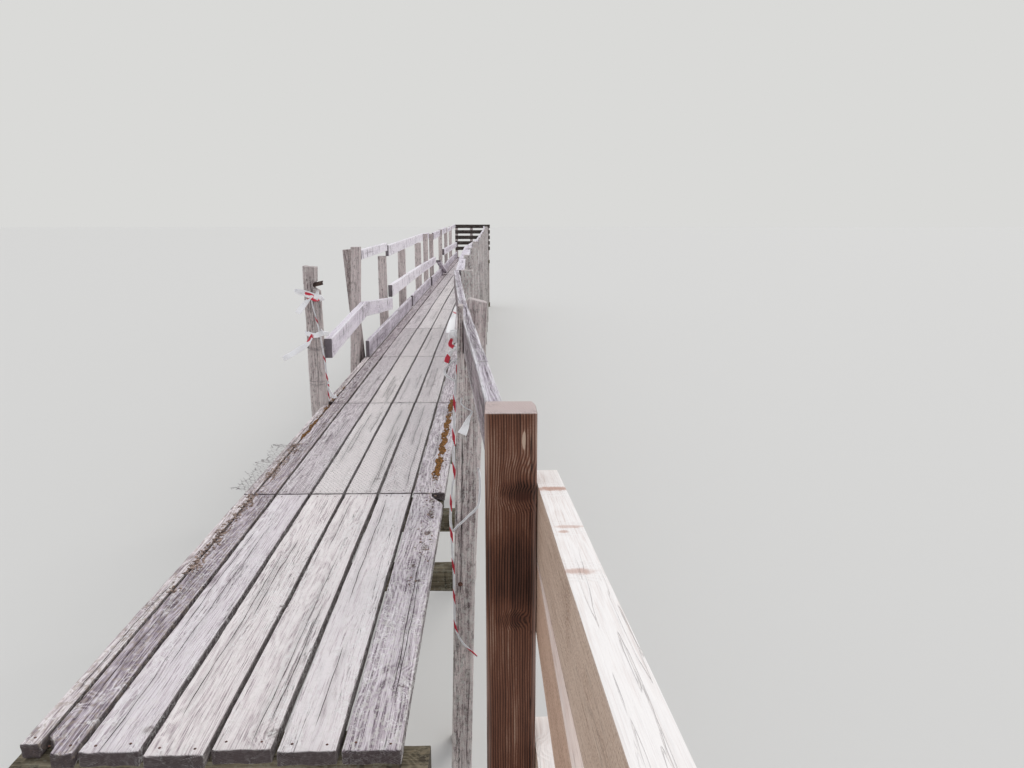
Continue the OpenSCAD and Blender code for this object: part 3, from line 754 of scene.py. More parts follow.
def deck_planks(bay):
    """The strip and planks A to F of one bay, from left to right."""
    node = f"deck_bay_{bay + 1:02d}"
    timbers = []
    for j, corners in enumerate(parts_in_order(node)):
        rng = random.Random(100 * bay + j)
        rotten = bay == 0 and j == PLANK_F
        if rotten:
            corners = corners.copy()
            corners[1, 1] = corners[1, 0] + (corners[0, 1] - corners[0, 0])
        # Under the netting the tone takes painted light, which offsets the shade of the wires and of the
        # handrail.
        tone = PLANK_TONES[j] + rng.uniform(-0.06, 0.06) + (NETTED_PAINTED_LIGHT[j] if bay else 0)
        timbers.append(Timber(
            corners, seed=1000 + 17 * bay + j, step=fineness(bay * BAY_L), inset=plank_edge(bay, j),
            side_gap=0.03 if bay < 4 else 0.09, worn=0.6, rough=0.8 * MM, warp=1.5 * MM,
            cup=rng.uniform(-0.3, 1.2) * MM,
            grooves=random_grooves(rng, BAY_L, 3 if bay < 3 else 1, (2,), 0.01, 0.003),
            tint=(tone, PLANK_WARMTH[j] + rng.uniform(-0.1, 0.1), 0.6 if j == PLANK_F else 0.25,
                  0.35 if j in (STRIP, PLANK_A) else 0.1),
            ragged=(0.008, 0.004), pith=(rng.uniform(-0.05, 0.05), -rng.uniform(0.07, 0.16))))
        for end in (0, 1):
            for side in (0.5,) if j == STRIP else (0.22, 0.78):
                near, other = corners[end, :, 1], corners[1 - end, :, 1]
                here = near + (other - near) * (rng.uniform(0.032, 0.044) / BAY_L)
                place = here[0] + (here[1] - here[0]) * (side + rng.uniform(-0.04, 0.04))
                if not (rotten and end == 1):
                    NAILS.append((place - (0, 0, 0.5 * MM), (0, 0, 0)))
    make_timbers(f"planks_bay_{bay + 1:02d}", timbers, NODE_SLOT[node], node)


def plank_edge(bay, j):
    """Where a plank's edge is worn or rotted away: the notch of plank A, the corner of plank F."""
    def rotten(x):
        bite = np.interp(x, (0, 2.03, 2.06, 2.1, 2.125, 2.15, 2.2), (0, 0, 0.022, 0.045, 0.06, 0.071, 0.074))
        return 0 * x, bite + 4 * MM * np.abs(ripple(x, 61, 0.05)) * (bite > 0)

    def notch(x):
        return np.interp(x, (0, 0.05, 0.09, 3), (0.045, 0.042, 0.0, 0.0)), 0 * x

    return {(0, PLANK_F): rotten, (0, PLANK_A): notch}.get((bay, j))


for bay in range(BAYS):
    deck_planks(bay)


def plain_timbers(node, **settings):
    """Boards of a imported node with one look. Settings may be functions of the number and the draws."""
    timbers = []
    for number, corners in enumerate(parts_in_order(node, 1)):
        s = corners[..., 1].mean() + FRONT_LAP
        rng = random.Random(f"{node}{number}")
        values = {key: value(number, rng) if callable(value) else value for key, value in settings.items()}
        values.setdefault("step", fineness(s, 0.035))
        values.setdefault("tint", (0.5 + rng.uniform(-0.1, 0.1), 0.5, 0.3, 0.1))
        values.setdefault("side_gap", 0.035 if s < 6 else 0.07)
        timbers.append(Timber(corners, seed=sum(map(ord, node)) + 31 * number, **values))
    dress(node, timbers)


def grooves(count, deepest, widest, longest, sides=(0, 1, 2, 3)):
    """Cracks for each board of a node, as many as count and no larger than the sizes given."""
    return lambda number, rng: random_grooves(rng, 2.4, count, sides, deepest, widest, longest)


def tint(tones, warmth, lichen, moss=0.1):
    """The tint of each board of a node; the last of the tones holds for all boards after it."""
    return lambda number, rng: (
        tones[min(number, len(tones) - 1)] + rng.uniform(-0.07, 0.07), warmth, lichen, moss)


CENTRED = {"pith": lambda number, rng: (rng.uniform(-0.02, 0.02), rng.uniform(-0.02, 0.02))}
for node in ("bearers", "cross_beams", "edge_boards", "bent_braces"):
    plain_timbers(node, ragged=(0.004, 0.004))
for node in ("short_legs", "right_post_2", "left_post_2", "left_leaning_post", "left_post_3",
             "left_posts_far", "end_barrier_post"):
    plain_timbers(node, radius=0.007, worn=0.7, rough=1.2 * MM, warp=2 * MM, **CENTRED,
                  tint=tint([0.3 if node == "left_leaning_post" else 0.54], 0.6, 0.35),
                  grooves=grooves(5, 0.018, 0.005, 0.8))
plain_timbers("right_posts_far", radius=0.007, worn=0.7, rough=1.6 * MM, tint=tint([0.56], 0.3, 0.95),
              grooves=grooves(3, 0.018, 0.005, 0.8), **CENTRED)
for node, tones in (("right_mid_rail", [0.52]), ("left_top_rail", [0.95, 0.85, 0.65]),
                    ("left_mid_rail", [0.6, 1.05, 0.7]), ("left_loose_rail", [0.58]), ("left_kerb", [0.39])):
    plain_timbers(node, worn=0.6, rough=0.9 * MM, ragged=(0.006, 0.006), warp=2 * MM, end_round=0.002,
                  tint=tint(tones, 0.35, 0.2), grooves=grooves(3, 0.01, 0.003, 0.7, (1, 2, 3)))
plain_timbers("right_handrail_near", worn=0.7, rough=1.0 * MM, step=0.03, bend=(0.48, -0.0172),
              tint=(0.24, 0.4, 0.35, 0.05), grooves=grooves(7, 0.012, 0.004, 0.5, (1, 2, 3)))
plain_timbers("end_barrier_boards", radius=0.004, ragged=(0.004, 0.004), tint=tint([0.5], 0.5, 0.2))
# The middle rail is tinted warmer: painted light that offsets the cool skylight in the top rail's shade.
for place, warmth in (("top", 0.1), ("middle", 1.0), ("bottom", 0.3)):
    plain_timbers("approach_rail_" + place, radius=0.002, worn=0.3, rough=0.4 * MM, step=0.03,
                  end_round=0.0015, side_gap=0.03, tint=(0.52, warmth, 0.0, 0.0))


def block(low, high):
    """The corners of an upright box between two points."""
    return corners_of(list(itertools.product(*zip(low, high))))


# The two ends' frames have a sill, three legs and a cap each.
SILL_W, CAP_H = 0.15, 0.11
for node in ("near_abutment", "far_abutment"):
    (left, front, low), (right, back, high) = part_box(node)
    middle, leg_low, leg_high = (left + right) / 2, low + SILL_W, high - CAP_H
    boxes = [((left, front, low), (right, back, leg_low)), ((left, front, leg_high), (right, back, high))]
    boxes += [((middle + x - SILL_W / 2, front, leg_low), (middle + x + SILL_W / 2, back, leg_high))
              for x in (-0.5, 0.0, 0.5)]
    dress(node, [Timber(
        block(*box), seed=700 + k, radius=0.007, worn=0.6, rough=1.2 * MM, end_round=0.002, pith=(0.01, 0.0),
        tint=(0.5, 0.5, 0.3, 0.3), grooves=random_grooves(random.Random(k), 1.2, 2, (1, 3)))
        for k, box in enumerate(boxes)])

# Planed square posts have eased arrises, a flat sawn head and one long corner planed off.
for node, seed in (("entrance_post", 501), ("approach_post", 502)):
    dress(node, [Timber(
        block(*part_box(node)), seed=seed, step=0.03, radius=0.003, worn=0.4, rough=0.4 * MM,
        warp=0.3 * MM, end_round=0.0015, side_gap=0.02, pith=(-0.35, -0.09), tint=(0.5, 0.5, 0.0, 0.0),
        planed=(0.045, 0.009),
        grooves=random_grooves(random.Random(seed), 2.7, 7, deepest=0.006, widest=0.0018))])


def post_and_foot(node):
    """The corner points of a lone post, and the four at its foot."""
    part = loose_parts(node)[0]
    return part, part[np.argsort(part[:, 2])[:4]]


# The post beside the first bay leans outwards, and only a sliver of it rises beside the handrail:
# it is cut plumb there, so the rebate grows towards the head as the post leans into it.
REBATE_Z = 2.5527
part, foot = post_and_foot("right_post_1")
head_z = part[:, 2].max()
top = part[np.abs(part[:, 2] - head_z) < 2 * MM]
lean = top[:, 0].min() - foot[:, 0].min()
plumb_x = top[:, 0].max() + 5 * MM
outer_x = foot[:, 0].max()


def rebated(x):
    return 0 * x, np.where(x > REBATE_Z, outer_x + lean * x / head_z - plumb_x, 0.0)


crack = {"side": 0, "place": -0.42, "from": 1.35, "to": 2.2, "width": 0.0035, "depth": 0.03, "wander": 0.002}
dress("right_post_1", [Timber(
    corners_of(np.vstack([foot, foot + (lean, 0, head_z)])), seed=311, step=0.025, radius=0.006, worn=0.7,
    rough=1.4 * MM, side_gap=0.014, inset=rebated, breaks=(REBATE_Z,), pith=(0.01, 0.01), warp=0.5 * MM,
    tint=(0.44, 0.4, 0.45, 0.05),
    grooves=[crack] + random_grooves(random.Random(311), 2.7, 6, deepest=0.01, widest=0.002, longest=0.4))])

# A short spacer block holds the handrail off the second post.
SPACER = (0.708, 2.06, 2.64), (0.738, 2.14, 2.722)
make_timbers("handrail_spacer", [Timber(
    block(*SPACER), seed=321, step=0.02, radius=0.003, side_gap=0.014, tint=(0.7, 0.9, 0.2, 0.0),
    pith=(0.0, 0.0))], "old_post")

# The flat handrail is narrow at first, then broad and notched round two posts, then on edge.
END_SLACK = 0.012
POST_HALF = 0.051
timbers = []
for number, part in enumerate(sorted(loose_parts("right_handrail_far"), key=lambda p: p[:, 1].mean())):
    near_y, far_y = part[:, 1].min(), part[:, 1].max()
    notches = []
    if number == 1:
        by_place = np.argsort(part[:, 1])
        corners = corners_of(part[np.r_[by_place[:4], by_place[-4:]]])
        corners[0, 1] = corners[0, 0] + (corners[1, 1] - corners[1, 0])
        first, second = (joint * BAY_L - FRONT_LAP - near_y for joint in (3, 4))
        notches = [(-1.0, first + POST_HALF, 0.042), (second - POST_HALF, second + POST_HALF, 0.03)]
    else:
        corners = corners_of(part[(part[:, 1] < near_y + END_SLACK) | (part[:, 1] > far_y - END_SLACK)])

    def notched(x, notches=tuple(notches)):
        right = 0 * x
        for a, b, cut in notches:
            right = np.where((x > a) & (x < b), cut, right)
        return 0 * x, right

    timbers.append(Timber(
        corners, seed=331 + number, step=0.04, worn=0.6, rough=0.9 * MM, warp=1.5 * MM, ragged=(0.004, 0.004),
        inset=notched if notches else None, breaks=[b for notch in notches for b in notch[:2] if b > 0],
        tint=(0.52, 0.3, 0.35, 0.05),
        grooves=random_grooves(random.Random(number), far_y - near_y, 6, (2, 3), 0.01, 0.003, 0.4)))
dress("right_handrail_far", timbers)

# The lone left post tapers to its head and has a bite out of its right side.
part, foot = post_and_foot("left_post_1")
HEAD_CORNERS = (-0.716, 2.7786), (-0.596, 2.7666)  # x and z
head = [(x, y, z) for x, z in HEAD_CORNERS for y in (foot[:, 1].min(), foot[:, 1].max())]


def bitten(x):
    return 0 * x, np.interp(x, (0, 2.584, 2.5906, 2.6066, 2.6386, 2.652, 2.79),
                            (0, 0, 0.0333, 0.055, 0.0504, 0.0222, 0.015))


dress("left_post_1", [Timber(
    corners_of(np.vstack([foot, head])), seed=341, step=0.02, radius=0.009, worn=0.8, rough=1.8 * MM,
    side_gap=0.016, inset=bitten, pith=(0.01, 0.0), tint=(0.5, 0.45, 0.35, 0.1), warp=2 * MM,
    ragged=(0.0, 0.008), grooves=random_grooves(random.Random(9), 2.8, 10, (0, 1, 3), 0.014, 0.004, 0.6))])

# The broken rail is sound at its upper end, and splintered where it lies on the deck. It starts at the
# inner face of the post at the eighth joint.
FALLEN_W, FALLEN_T = 0.12, 0.048
FALLEN_S, FALLEN_RUN = 8 * BAY_L, 1.07
FALLEN_HEIGHTS = 0.43, 0.054
LEFT_IN, FALLEN_FAR_X = 0.585, -0.477
near_x = bow(FALLEN_S) - LEFT_IN + FALLEN_W / 2 + MM
near, far = (np.array([x, s - FRONT_LAP, DECK_Z + climb(s) + height]) for x, s, height in zip(
    (near_x, FALLEN_FAR_X), (FALLEN_S, FALLEN_S + FALLEN_RUN), FALLEN_HEIGHTS))
slope = (far - near) / np.linalg.norm(far - near)
side_way = np.array([slope[1], -slope[0], 0]) / math.hypot(slope[0], slope[1])
top_way = np.cross(side_way, slope)
dress("left_fallen_rail", [Timber(
    corners_of([end + side_way * side * FALLEN_W / 2 - top_way * down
                for end in (near, far) for side in (-1, 1) for down in (0.0, FALLEN_T)]),
    seed=351, step=0.02, radius=0.004, worn=0.6, rough=1.0 * MM, ragged=(0.01, 0.16), end_round=0.002,
    side_gap=0.014, tint=(0.5, 0.35, 0.2, 0.1),
    grooves=random_grooves(random.Random(4), 1.3, 4, (0, 2, 3), 0.012, 0.004, 0.8))])

# A broken rail end sticks out of the lone post where its side has come away.
STUB_X, STUB_Y, STUB_Z = (-0.648, -0.556), (4.27, 4.335), (2.6, 2.634)
STUB_RISE = 0.02
make_timbers("broken_rail_end", [Timber(
    corners_of([(x, y, z + rise) for x, rise in zip(STUB_X, (0, STUB_RISE)) for y in STUB_Y for z in STUB_Z]),
    seed=361, step=0.012, radius=0.004, ragged=(0.0, 0.03), tint=(0.8, 0.8, 0.0, 0.0), side_gap=0.012)],
    "barrier_board")


def finish_piece(name, mesh):
    """Adds a made piece, smooth and riding on the bridge."""
    mesh.polygons.foreach_set("use_smooth", [True] * len(mesh.polygons))
    obj = put(name, mesh)
    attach(obj, BODY)
    return obj


def mesh_of(carrier):
    """The mesh that an object's curve or modifier makes. The object itself is taken away."""
    mesh = bpy.data.meshes.new_from_object(carrier.evaluated_get(bpy.context.evaluated_depsgraph_get()))
    bpy.data.objects.remove(carrier)
    return mesh


def grow(name, base, sizes, shape, material, settle=None):
    """Puts small shapes on a base mesh with a Geometry Nodes tree, and keeps the result as a plain piece.

    sizes are the tree's named inputs, and shape adds the nodes that turn the base into instances.
    settle may move the finished points."""
    tree = bpy.data.node_groups.new(name, "GeometryNodeTree")
    tree.interface.new_socket("Base", in_out="INPUT", socket_type="NodeSocketGeometry")
    for key, value in sizes.items():
        kind = "NodeSocketInt" if isinstance(value, int) else "NodeSocketFloat"
        tree.interface.new_socket(key, in_out="INPUT", socket_type=kind)
    tree.interface.new_socket("Result", in_out="OUTPUT", socket_type="NodeSocketGeometry")
    given = add(tree, "NodeGroupInput").node.outputs
    real = add(tree, "GeometryNodeRealizeInstances", (shape(tree, given),))
    real = add(tree, "GeometryNodeSetMaterial", {"Geometry": real, "Material": material})
    add(tree, "NodeGroupOutput", (real,))
    carrier = put(name + "_base", base)
    modifier = carrier.modifiers.new("tree", "NODES")
    modifier.node_group = tree
    for item in tree.interface.items_tree:
        if item.in_out == "INPUT" and item.name in sizes:
            modifier[item.identifier] = sizes[item.name]
    mesh = mesh_of(carrier)
    if settle:
        co = np.empty(len(mesh.vertices) * 3, dtype=np.float32)
        mesh.vertices.foreach_get("co", co)
        mesh.vertices.foreach_set("co", settle(co.reshape(-1, 3)).astype(np.float32).ravel())
        mesh.update()
    finish_piece(name, mesh)


def plain_material(name, light, dark, scale, roughness, metallic=0.0, relief=0.3):
    """A finish that changes between two colours in patches of about 1 / scale metres."""
    material, tree = new_material(name)
    where = add(tree, WHERE, out="Object")
    patch = add(tree, NOISE, {"Vector": where, "Scale": scale, "Detail": 4.0, "Roughness": 0.65})
    mask = add(tree, MAP, (patch, 0.38, 0.62, 0.0, 1.0), **SMOOTH)
    colour = add(tree, MIX, {0: mask, 6: linear(dark), 7: linear(light)}, 2, **COLOUR)
    bump = add(tree, BUMP, {"Height": patch, "Strength": relief, "Distance": MM})
    shader = add(tree, SURFACE, {
        "Base Color": colour, "Roughness": roughness, "Metallic": metallic, "Normal": bump})
    add(tree, OUTPUT, (shader,))
    return material


# Drawn steel wire whose zinc has gone dull, cast and rolled iron with a skin of rust, feathery dry
# moss, and crumbs of leaves, bark and grit.
WIRE = plain_material("dull_zinc_wire", "#c6c0c2", "#7a7374", 60, 0.6, 0.2)
RUST = plain_material("rusty_iron", "#7a5547", "#3b2a26", 220, 0.85, 0.2, 0.6)
MOSS = plain_material("dry_orange_moss", "#a8743a", "#4e3a22", 70, 0.95, 0.0, 0.8)
CRUMBS = plain_material("leaf_and_grit_crumbs", "#b39c90", "#5e4a40", 45, 0.9, 0.0, 0.5)


def domes(tree, given):
    """Flattened round heads, turned as each point says."""
    dome = add(tree, "GeometryNodeMeshUVSphere", {"Segments": 10, "Rings": 6, "Radius": 0.5})
    size = add(tree, "ShaderNodeCombineXYZ", (given["Width"], given["Width"], given["Height"]))
    turn = add(tree, "GeometryNodeInputNamedAttribute", ("turn",), data_type="FLOAT_VECTOR")
    turn = add(tree, "FunctionNodeEulerToRotation", (turn,))
    return add(tree, "GeometryNodeInstanceOnPoints", {
        "Points": given["Base"], "Instance": dome, "Rotation": turn, "Scale": size})


def heads(name, rows, width, height):
    """Heads of nails or bolts. Each row has a head's place and the way it is turned."""
    base = plain_mesh(name, [place for place, turn in rows])
    add_layer(base, "turn", np.array([turn for place, turn in rows]))
    grow(name, base, {"Width": width, "Height": height}, domes, RUST)


# Round nail heads lie almost flush in the boards: 9 mm on the deck and 8 mm on the rails.
DOWN_X, DOWN_Y = (0, math.pi / 2, 0), (math.pi / 2, 0, 0)
heads("deck_nail_heads", NAILS, 9 * MM, 3 * MM)
rail_nails = []
for node, side in (("left_mid_rail", 1), ("left_top_rail", 1), ("left_loose_rail", 1), ("right_mid_rail", 0)):
    for corners in parts_in_order(node, 1):
        near, far = corners[0, side].mean(0), corners[1, side].mean(0)
        depth = np.linalg.norm(corners[0, side, 1] - corners[0, side, 0])
        for joint in range(2, BAYS):
            t = (joint * BAY_L - FRONT_LAP - near[1]) / (far[1] - near[1])
            if -0.02 < t < 1.02:
                place = near + (far - near) * min(max(t, 0.02), 0.98)
                rail_nails += [(place + (0, off, up * depth), DOWN_X)
                               for off, up in ((-0.012, 0.25), (0.014, -0.24))]
TOP_RAIL_END_Y = 6.4499
rail_nails += [((x, TOP_RAIL_END_Y, z), DOWN_Y) for x, z in ((-0.722, 2.46), (-0.697, 2.462))]
heads("rail_nail_heads", rail_nails, 8 * MM, 3 * MM)

# Dome-headed bolts hold the old post to its cross-beam and the new rails to their posts. Each new post
# has its place, its top rail's rise and the heights of its bolted rails over the deck.
NEW_POST_W, NEW_RAIL_T, NEW_RAIL_D = 0.125, 0.064, 0.195
NEW_POSTS = (0.9, -0.301, 0.0, (0.919, 0.213)), (0.9462, -2.401, 0.231, (0.919, 0.722, 0.213))
bolts = [((0.6865, 1.3295, 1.42), DOWN_Y)]
for x, y, rise, heights in NEW_POSTS:
    for height in heights:
        middle = height - NEW_RAIL_D / 2 + (rise if height == max(heights) else 0.0)
        bolts += [((x + NEW_POST_W / 2 + NEW_RAIL_T, y + off, DECK_Z + middle + up), DOWN_X)
                  for off, up in ((-0.025, 0.05), (0.025, -0.05))]
heads("bolt_heads", bolts, 24 * MM, 14 * MM)

# Hexagonal netting of 1 mm wire lies on the walked planks from the second bay on. Past the fourth bay its
# cells are too fine to show, and are drawn twice as wide. Its left edge is torn at the second bay.
CELL = 0.026
FINE_BAYS = 4
NETTING_LEFT, NETTING_RIGHT = -0.37, 0.43
TEAR_LEFT, TEAR_RIGHT, TEAR_NEAR, TEAR_FAR = -0.64, -0.53, 2.12, 3.1


def netting_cells(tree, given):
    """Two interleaved grids of points, with three wires from each to its neighbours."""
    legs = []
    for angle, radius in ((-90, "Twist radius"), (30, "Wire radius"), (150, "Wire radius")):
        leg = add(tree, "GeometryNodeMeshCylinder",
                  {"Vertices": 3, "Radius": given[radius], "Depth": given["Span"]}, fill_type="NONE")
        turn = math.radians(angle)
        middle = add(tree, VECTOR, {
            "Vector": (math.cos(turn) / 2, math.sin(turn) / 2, 0), "Scale": given["Span"]}, operation="SCALE")
        legs.append(add(tree, "GeometryNodeTransform", {
            "Geometry": leg, "Rotation": (math.pi / 2, 0, turn - math.pi / 2), "Translation": middle}))
    star = add(tree, "GeometryNodeJoinGeometry")
    for leg in reversed(legs):
        tree.links.new(leg, star.node.inputs[0])
    return add(tree, "GeometryNodeInstanceOnPoints", {"Points": given["Base"], "Instance": star})


def netting(name, cell, left, right, near, far, wire, twist, settle):
    """Hexagonal netting whose twisted wires run along the bridge, laid flat and then settled."""
    row_step = 1.5 * cell / math.sqrt(3)
    rows, columns = int((far - near) / row_step), int((right - left) / cell)
    crossings = [(left + (column + 0.5 * (row % 2)) * cell, near + row * row_step, 0.0)
                 for row in range(rows) for column in range(columns)]
    sizes = {"Span": cell / math.sqrt(3), "Wire radius": wire, "Twist radius": twist}
    grow(name, plain_mesh(name, crossings), sizes, netting_cells, WIRE, settle)


def on_the_deck(co):
    """Lets the netting follow the deck's bow and rise, a little loose here and there."""
    x, y, z = co.T
    loose = ripple(y + 0.7 * x, 81, 0.9) * ripple(x, 82, 0.35)
    return np.stack([x + bow(y + FRONT_LAP) + 2 * MM * ripple(y, 83, 0.4),
                     y, z + DECK_Z + climb(y + FRONT_LAP) + 1.2 * MM + 0.7 * MM * loose], axis=-1)


def curled(co):
    """The netting's torn left edge has sprung up and hangs out over the deck's side."""
    x, y, z = co.T
    reach = (TEAR_RIGHT + 0.01 - x) / (TEAR_RIGHT - TEAR_LEFT)  # about 0 at the inner edge, 1 at the torn one
    reach = np.clip(reach, 0, 1.2)
    swell = 0.5 + 0.5 * ripple(y, 91, 0.5)
    sprung = reach * (0.035 * swell - 0.012 + 0.012 * np.abs(ripple(y + 3 * x, 93, 0.12)))
    return np.stack([x + bow(y + FRONT_LAP) + 0.02 * reach * ripple(y * 1.7 + x, 92, 0.25),
                     y, z + DECK_Z + climb(y + FRONT_LAP) + 3 * MM + sprung], axis=-1)


for bay in range(1, BAYS):
    near = bay * BAY_L - FRONT_LAP + (0.02 if bay == 1 else -0.02)
    far = (bay + 1) * BAY_L - FRONT_LAP - (0.05 if bay == BAYS - 1 else 0.02)
    netting(f"netting_bay_{bay + 1:02d}", CELL if bay < FINE_BAYS else 2 * CELL, NETTING_LEFT, NETTING_RIGHT,
            near, far, 0.5 * MM, 0.8 * MM, on_the_deck)
netting("netting_torn_edge", CELL, TEAR_LEFT, TEAR_RIGHT, TEAR_NEAR, TEAR_FAR, 0.6 * MM, 1.0 * MM, curled)


def strip_base(name, line, width, count=60):
    """A narrow strip with a ragged outline on the deck along a line, on which small things are strewn."""
    y = np.linspace(line[0][1], line[-1][1], count)
    x = np.interp(y, [p[1] for p in line], [p[0] for p in line])
    points = []
    for k, side in enumerate((-1, 1)):
        edge = x + side * width / 2 * np.clip(0.62 + 0.38 * ripple(y, 71 + k, 0.3), 0.1, 1)
        points += zip(edge, y, DECK_Z + climb(y + FRONT_LAP) + MM)
    return plain_mesh(name, points, [(k, k + count, k + count + 1, k + 1) for k in range(count - 1)])


def strewn(tree, given):
    """Small rounded lumps in patches, each of its own size and turn."""
    where = add(tree, "GeometryNodeInputPosition")
    patch = add(tree, NOISE, {"Vector": where, "Scale": given["Patches"], "Detail": 2.0})
    patch = add(tree, MAP, (patch, given["Bare"], 0.6, 0.0, 1.0))
    density = add(tree, MATH, (patch, given["Density"]), **TIMES)
    points = add(tree, "GeometryNodeDistributePointsOnFaces", {
        "Mesh": given["Base"], "Density": density, "Seed": given["Seed"]})
    lump = add(tree, "GeometryNodeMeshIcoSphere", {"Radius": 0.5, "Subdivisions": 1})
    width = add(tree, "FunctionNodeRandomValue", {2: 0.35, 3: 1.0, "Seed": given["Seed"]}, 1)
    width = add(tree, MATH, (width, given["Size"]), **TIMES)
    length = add(tree, MATH, (width, 1.4), **TIMES)
    height = add(tree, MATH, (width, given["Flatness"]), **TIMES)
    size = add(tree, "ShaderNodeCombineXYZ", (width, length, height))
    turn = add(tree, "FunctionNodeRandomValue", {
        0: (-0.3, -0.3, 0.0), 1: (0.3, 0.3, 6.3), "Seed": given["Seed"]}, data_type="FLOAT_VECTOR")
    turn = add(tree, "FunctionNodeEulerToRotation", (turn,))
    return add(tree, "GeometryNodeInstanceOnPoints", {
        "Points": points, "Instance": lump, "Rotation": turn, "Scale": size})


for name, line, width, sizes, material in (
        ("moss_by_right_post", ((0.49, 2.3), (0.492, 2.75), (0.488, 3.4), (0.48, 4.4)), 0.06,
         {"Density": 42000.0, "Patches": 9.0, "Bare": 0.38, "Size": 0.011, "Flatness": 0.9, "Seed": 3}, MOSS),
        ("moss_on_left_edge", ((-0.53, 3.2), (-0.545, 3.9), (-0.555, 4.4), (-0.565, 5.2)), 0.045,
         {"Density": 22000.0, "Patches": 6.0, "Bare": 0.45, "Size": 0.009, "Flatness": 0.7, "Seed": 5}, MOSS),
        ("crumbs_on_left_edge", ((-0.515, 0.9), (-0.52, 1.6), (-0.525, 2.3), (-0.53, 3.1)), 0.09,
         {"Density": 12000.0, "Patches": 5.0, "Bare": 0.4, "Size": 0.013, "Flatness": 0.35, "Seed": 7},
         CRUMBS),
        ("crumbs_on_right_edge", ((0.5, 0.9), (0.51, 1.5), (0.5, 2.2), (0.51, 3.0)), 0.12,
         {"Density": 1500.0, "Patches": 9.0, "Bare": 0.45, "Size": 0.013, "Flatness": 0.3, "Seed": 11},
         CRUMBS)):
    grow(name, strip_base(name, line, width), sizes, strewn, material)


def wire_piece(name, paths, width, material):
    """Round wire through one or more open paths of points."""
    curve = bpy.data.curves.new(name, "CURVE")
    curve.dimensions = "3D"
    curve.bevel_depth = width / 2
    curve.bevel_resolution = 1
    curve.use_fill_caps = True
    for path in paths:
        spline = curve.splines.new("POLY")
        spline.points.add(len(path) - 1)
        spline.points.foreach_set("co", np.array([(*p, 1) for p in path], dtype=np.float32).ravel())
    mesh = mesh_of(put(name + "_curve", curve))
    mesh.materials.append(material)
    finish_piece(name, mesh)


def round_the_post(z, sag, seed, left, right, front=4.248, back=4.352, proud=0.002):
    """A wire loop round a square post, tight at its corners."""
    rim = [(left, front), (right, front), (right, back), (left, back), (left, front)]
    path = []
    for k, (x_way, y_way) in enumerate(((0, -1), (1, 0), (0, 1), (-1, 0))):
        for t in np.linspace(0, 1, 12, endpoint=False):
            swing = math.sin(math.pi * t)
            bulge = proud + 0.004 * swing
            path.append((rim[k][0] + (rim[k + 1][0] - rim[k][0]) * t + x_way * bulge,
                         rim[k][1] + (rim[k + 1][1] - rim[k][1]) * t + y_way * bulge,
                         z - sag * swing + 0.003 * math.sin(9 * t + seed + k)))
    return path + [path[0]]


wire_piece("wire_loops_on_left_post", [
    round_the_post(2.115, 0.02, 1, -0.707, -0.575), round_the_post(2.108, 0.03, 4, -0.707, -0.575),
    [(-0.64, 4.245, 2.095), (-0.632, 4.23, 2.08), (-0.62, 4.236, 2.092), (-0.612, 4.225, 2.075)],
    round_the_post(1.795, 0.012, 2, -0.703, -0.569), round_the_post(1.82, 0.004, 3, -0.703, -0.57)],
    3.5 * MM, WIRE)

# Warning tape of red and white polythene, 50 mm wide and gathered into strands, bows and knots.
TAPE_W = 0.05
FILM = 0.4 * MM
PLEATS = 8


def tape_material():
    """Thin glossy film, with blocks of red and white along it that run a little into each other.

    Light from behind shines through the real film, which a faint glow of its own stands for."""
    material, tree = new_material("red_and_white_polythene")
    strip = add(tree, SPLIT, (add(tree, READ, out="Vector", attribute_name="strip"),)).node.outputs
    stripe = add(tree, MATH, (strip["X"], 2 * math.pi / 0.16), **TIMES)
    stripe = add(tree, MATH, (strip["Y"], 30.0, stripe), **TIMES_PLUS)
    stripe = add(tree, MATH, (stripe,), operation="SINE")
    stripe = add(tree, MATH, (strip["Z"], 2.0, stripe), **TIMES_PLUS)
    red = add(tree, MAP, (stripe, 2.52, 2.6, 0.0, 1.0))
    where = add(tree, WHERE, out="Object")
    crease = add(tree, NOISE, {"Vector": where, "Scale": 90.0, "Detail": 3.0, "Roughness": 0.6})
    white = add(tree, MIX, {0: crease, 6: linear("#efedf1"), 7: linear("#ffffff")}, 2, **COLOUR)
    colour = add(tree, MIX, {0: red, 6: white, 7: linear("#cf3146")}, 2, **COLOUR)
    bump = add(tree, BUMP, {"Height": crease, "Strength": 0.5, "Distance": 2 * MM})
    shader = add(tree, SURFACE, {
        "Base Color": colour, "Roughness": 0.4, "Normal": bump,
        "Emission Color": colour, "Emission Strength": 0.09})
    add(tree, OUTPUT, (shader,))
    return material


TAPE = tape_material()


def smooth_path(points, step=0.008):
    """A curve through the points, and how far along the points each of its own points lies."""
    points = np.array(points, dtype=float)
    padded = np.vstack([2 * points[0] - points[1], points, 2 * points[-1] - points[-2]])
    path, place = [points[0]], [0.0]
    for k in range(len(points) - 1):
        p0, p1, p2, p3 = padded[k : k + 4]
        count = max(2, int(np.linalg.norm(p2 - p1) / step))
        for t in np.linspace(0, 1, count + 1)[1:]:
            path.append(0.5 * ((2 * p1) + (p2 - p0) * t + (2 * p0 - 5 * p1 + 4 * p2 - p3) * t**2
                               + (3 * p1 - p0 - 3 * p2 + p3) * t**3))
            place.append(k + t)
    return np.array(path), np.array(place)


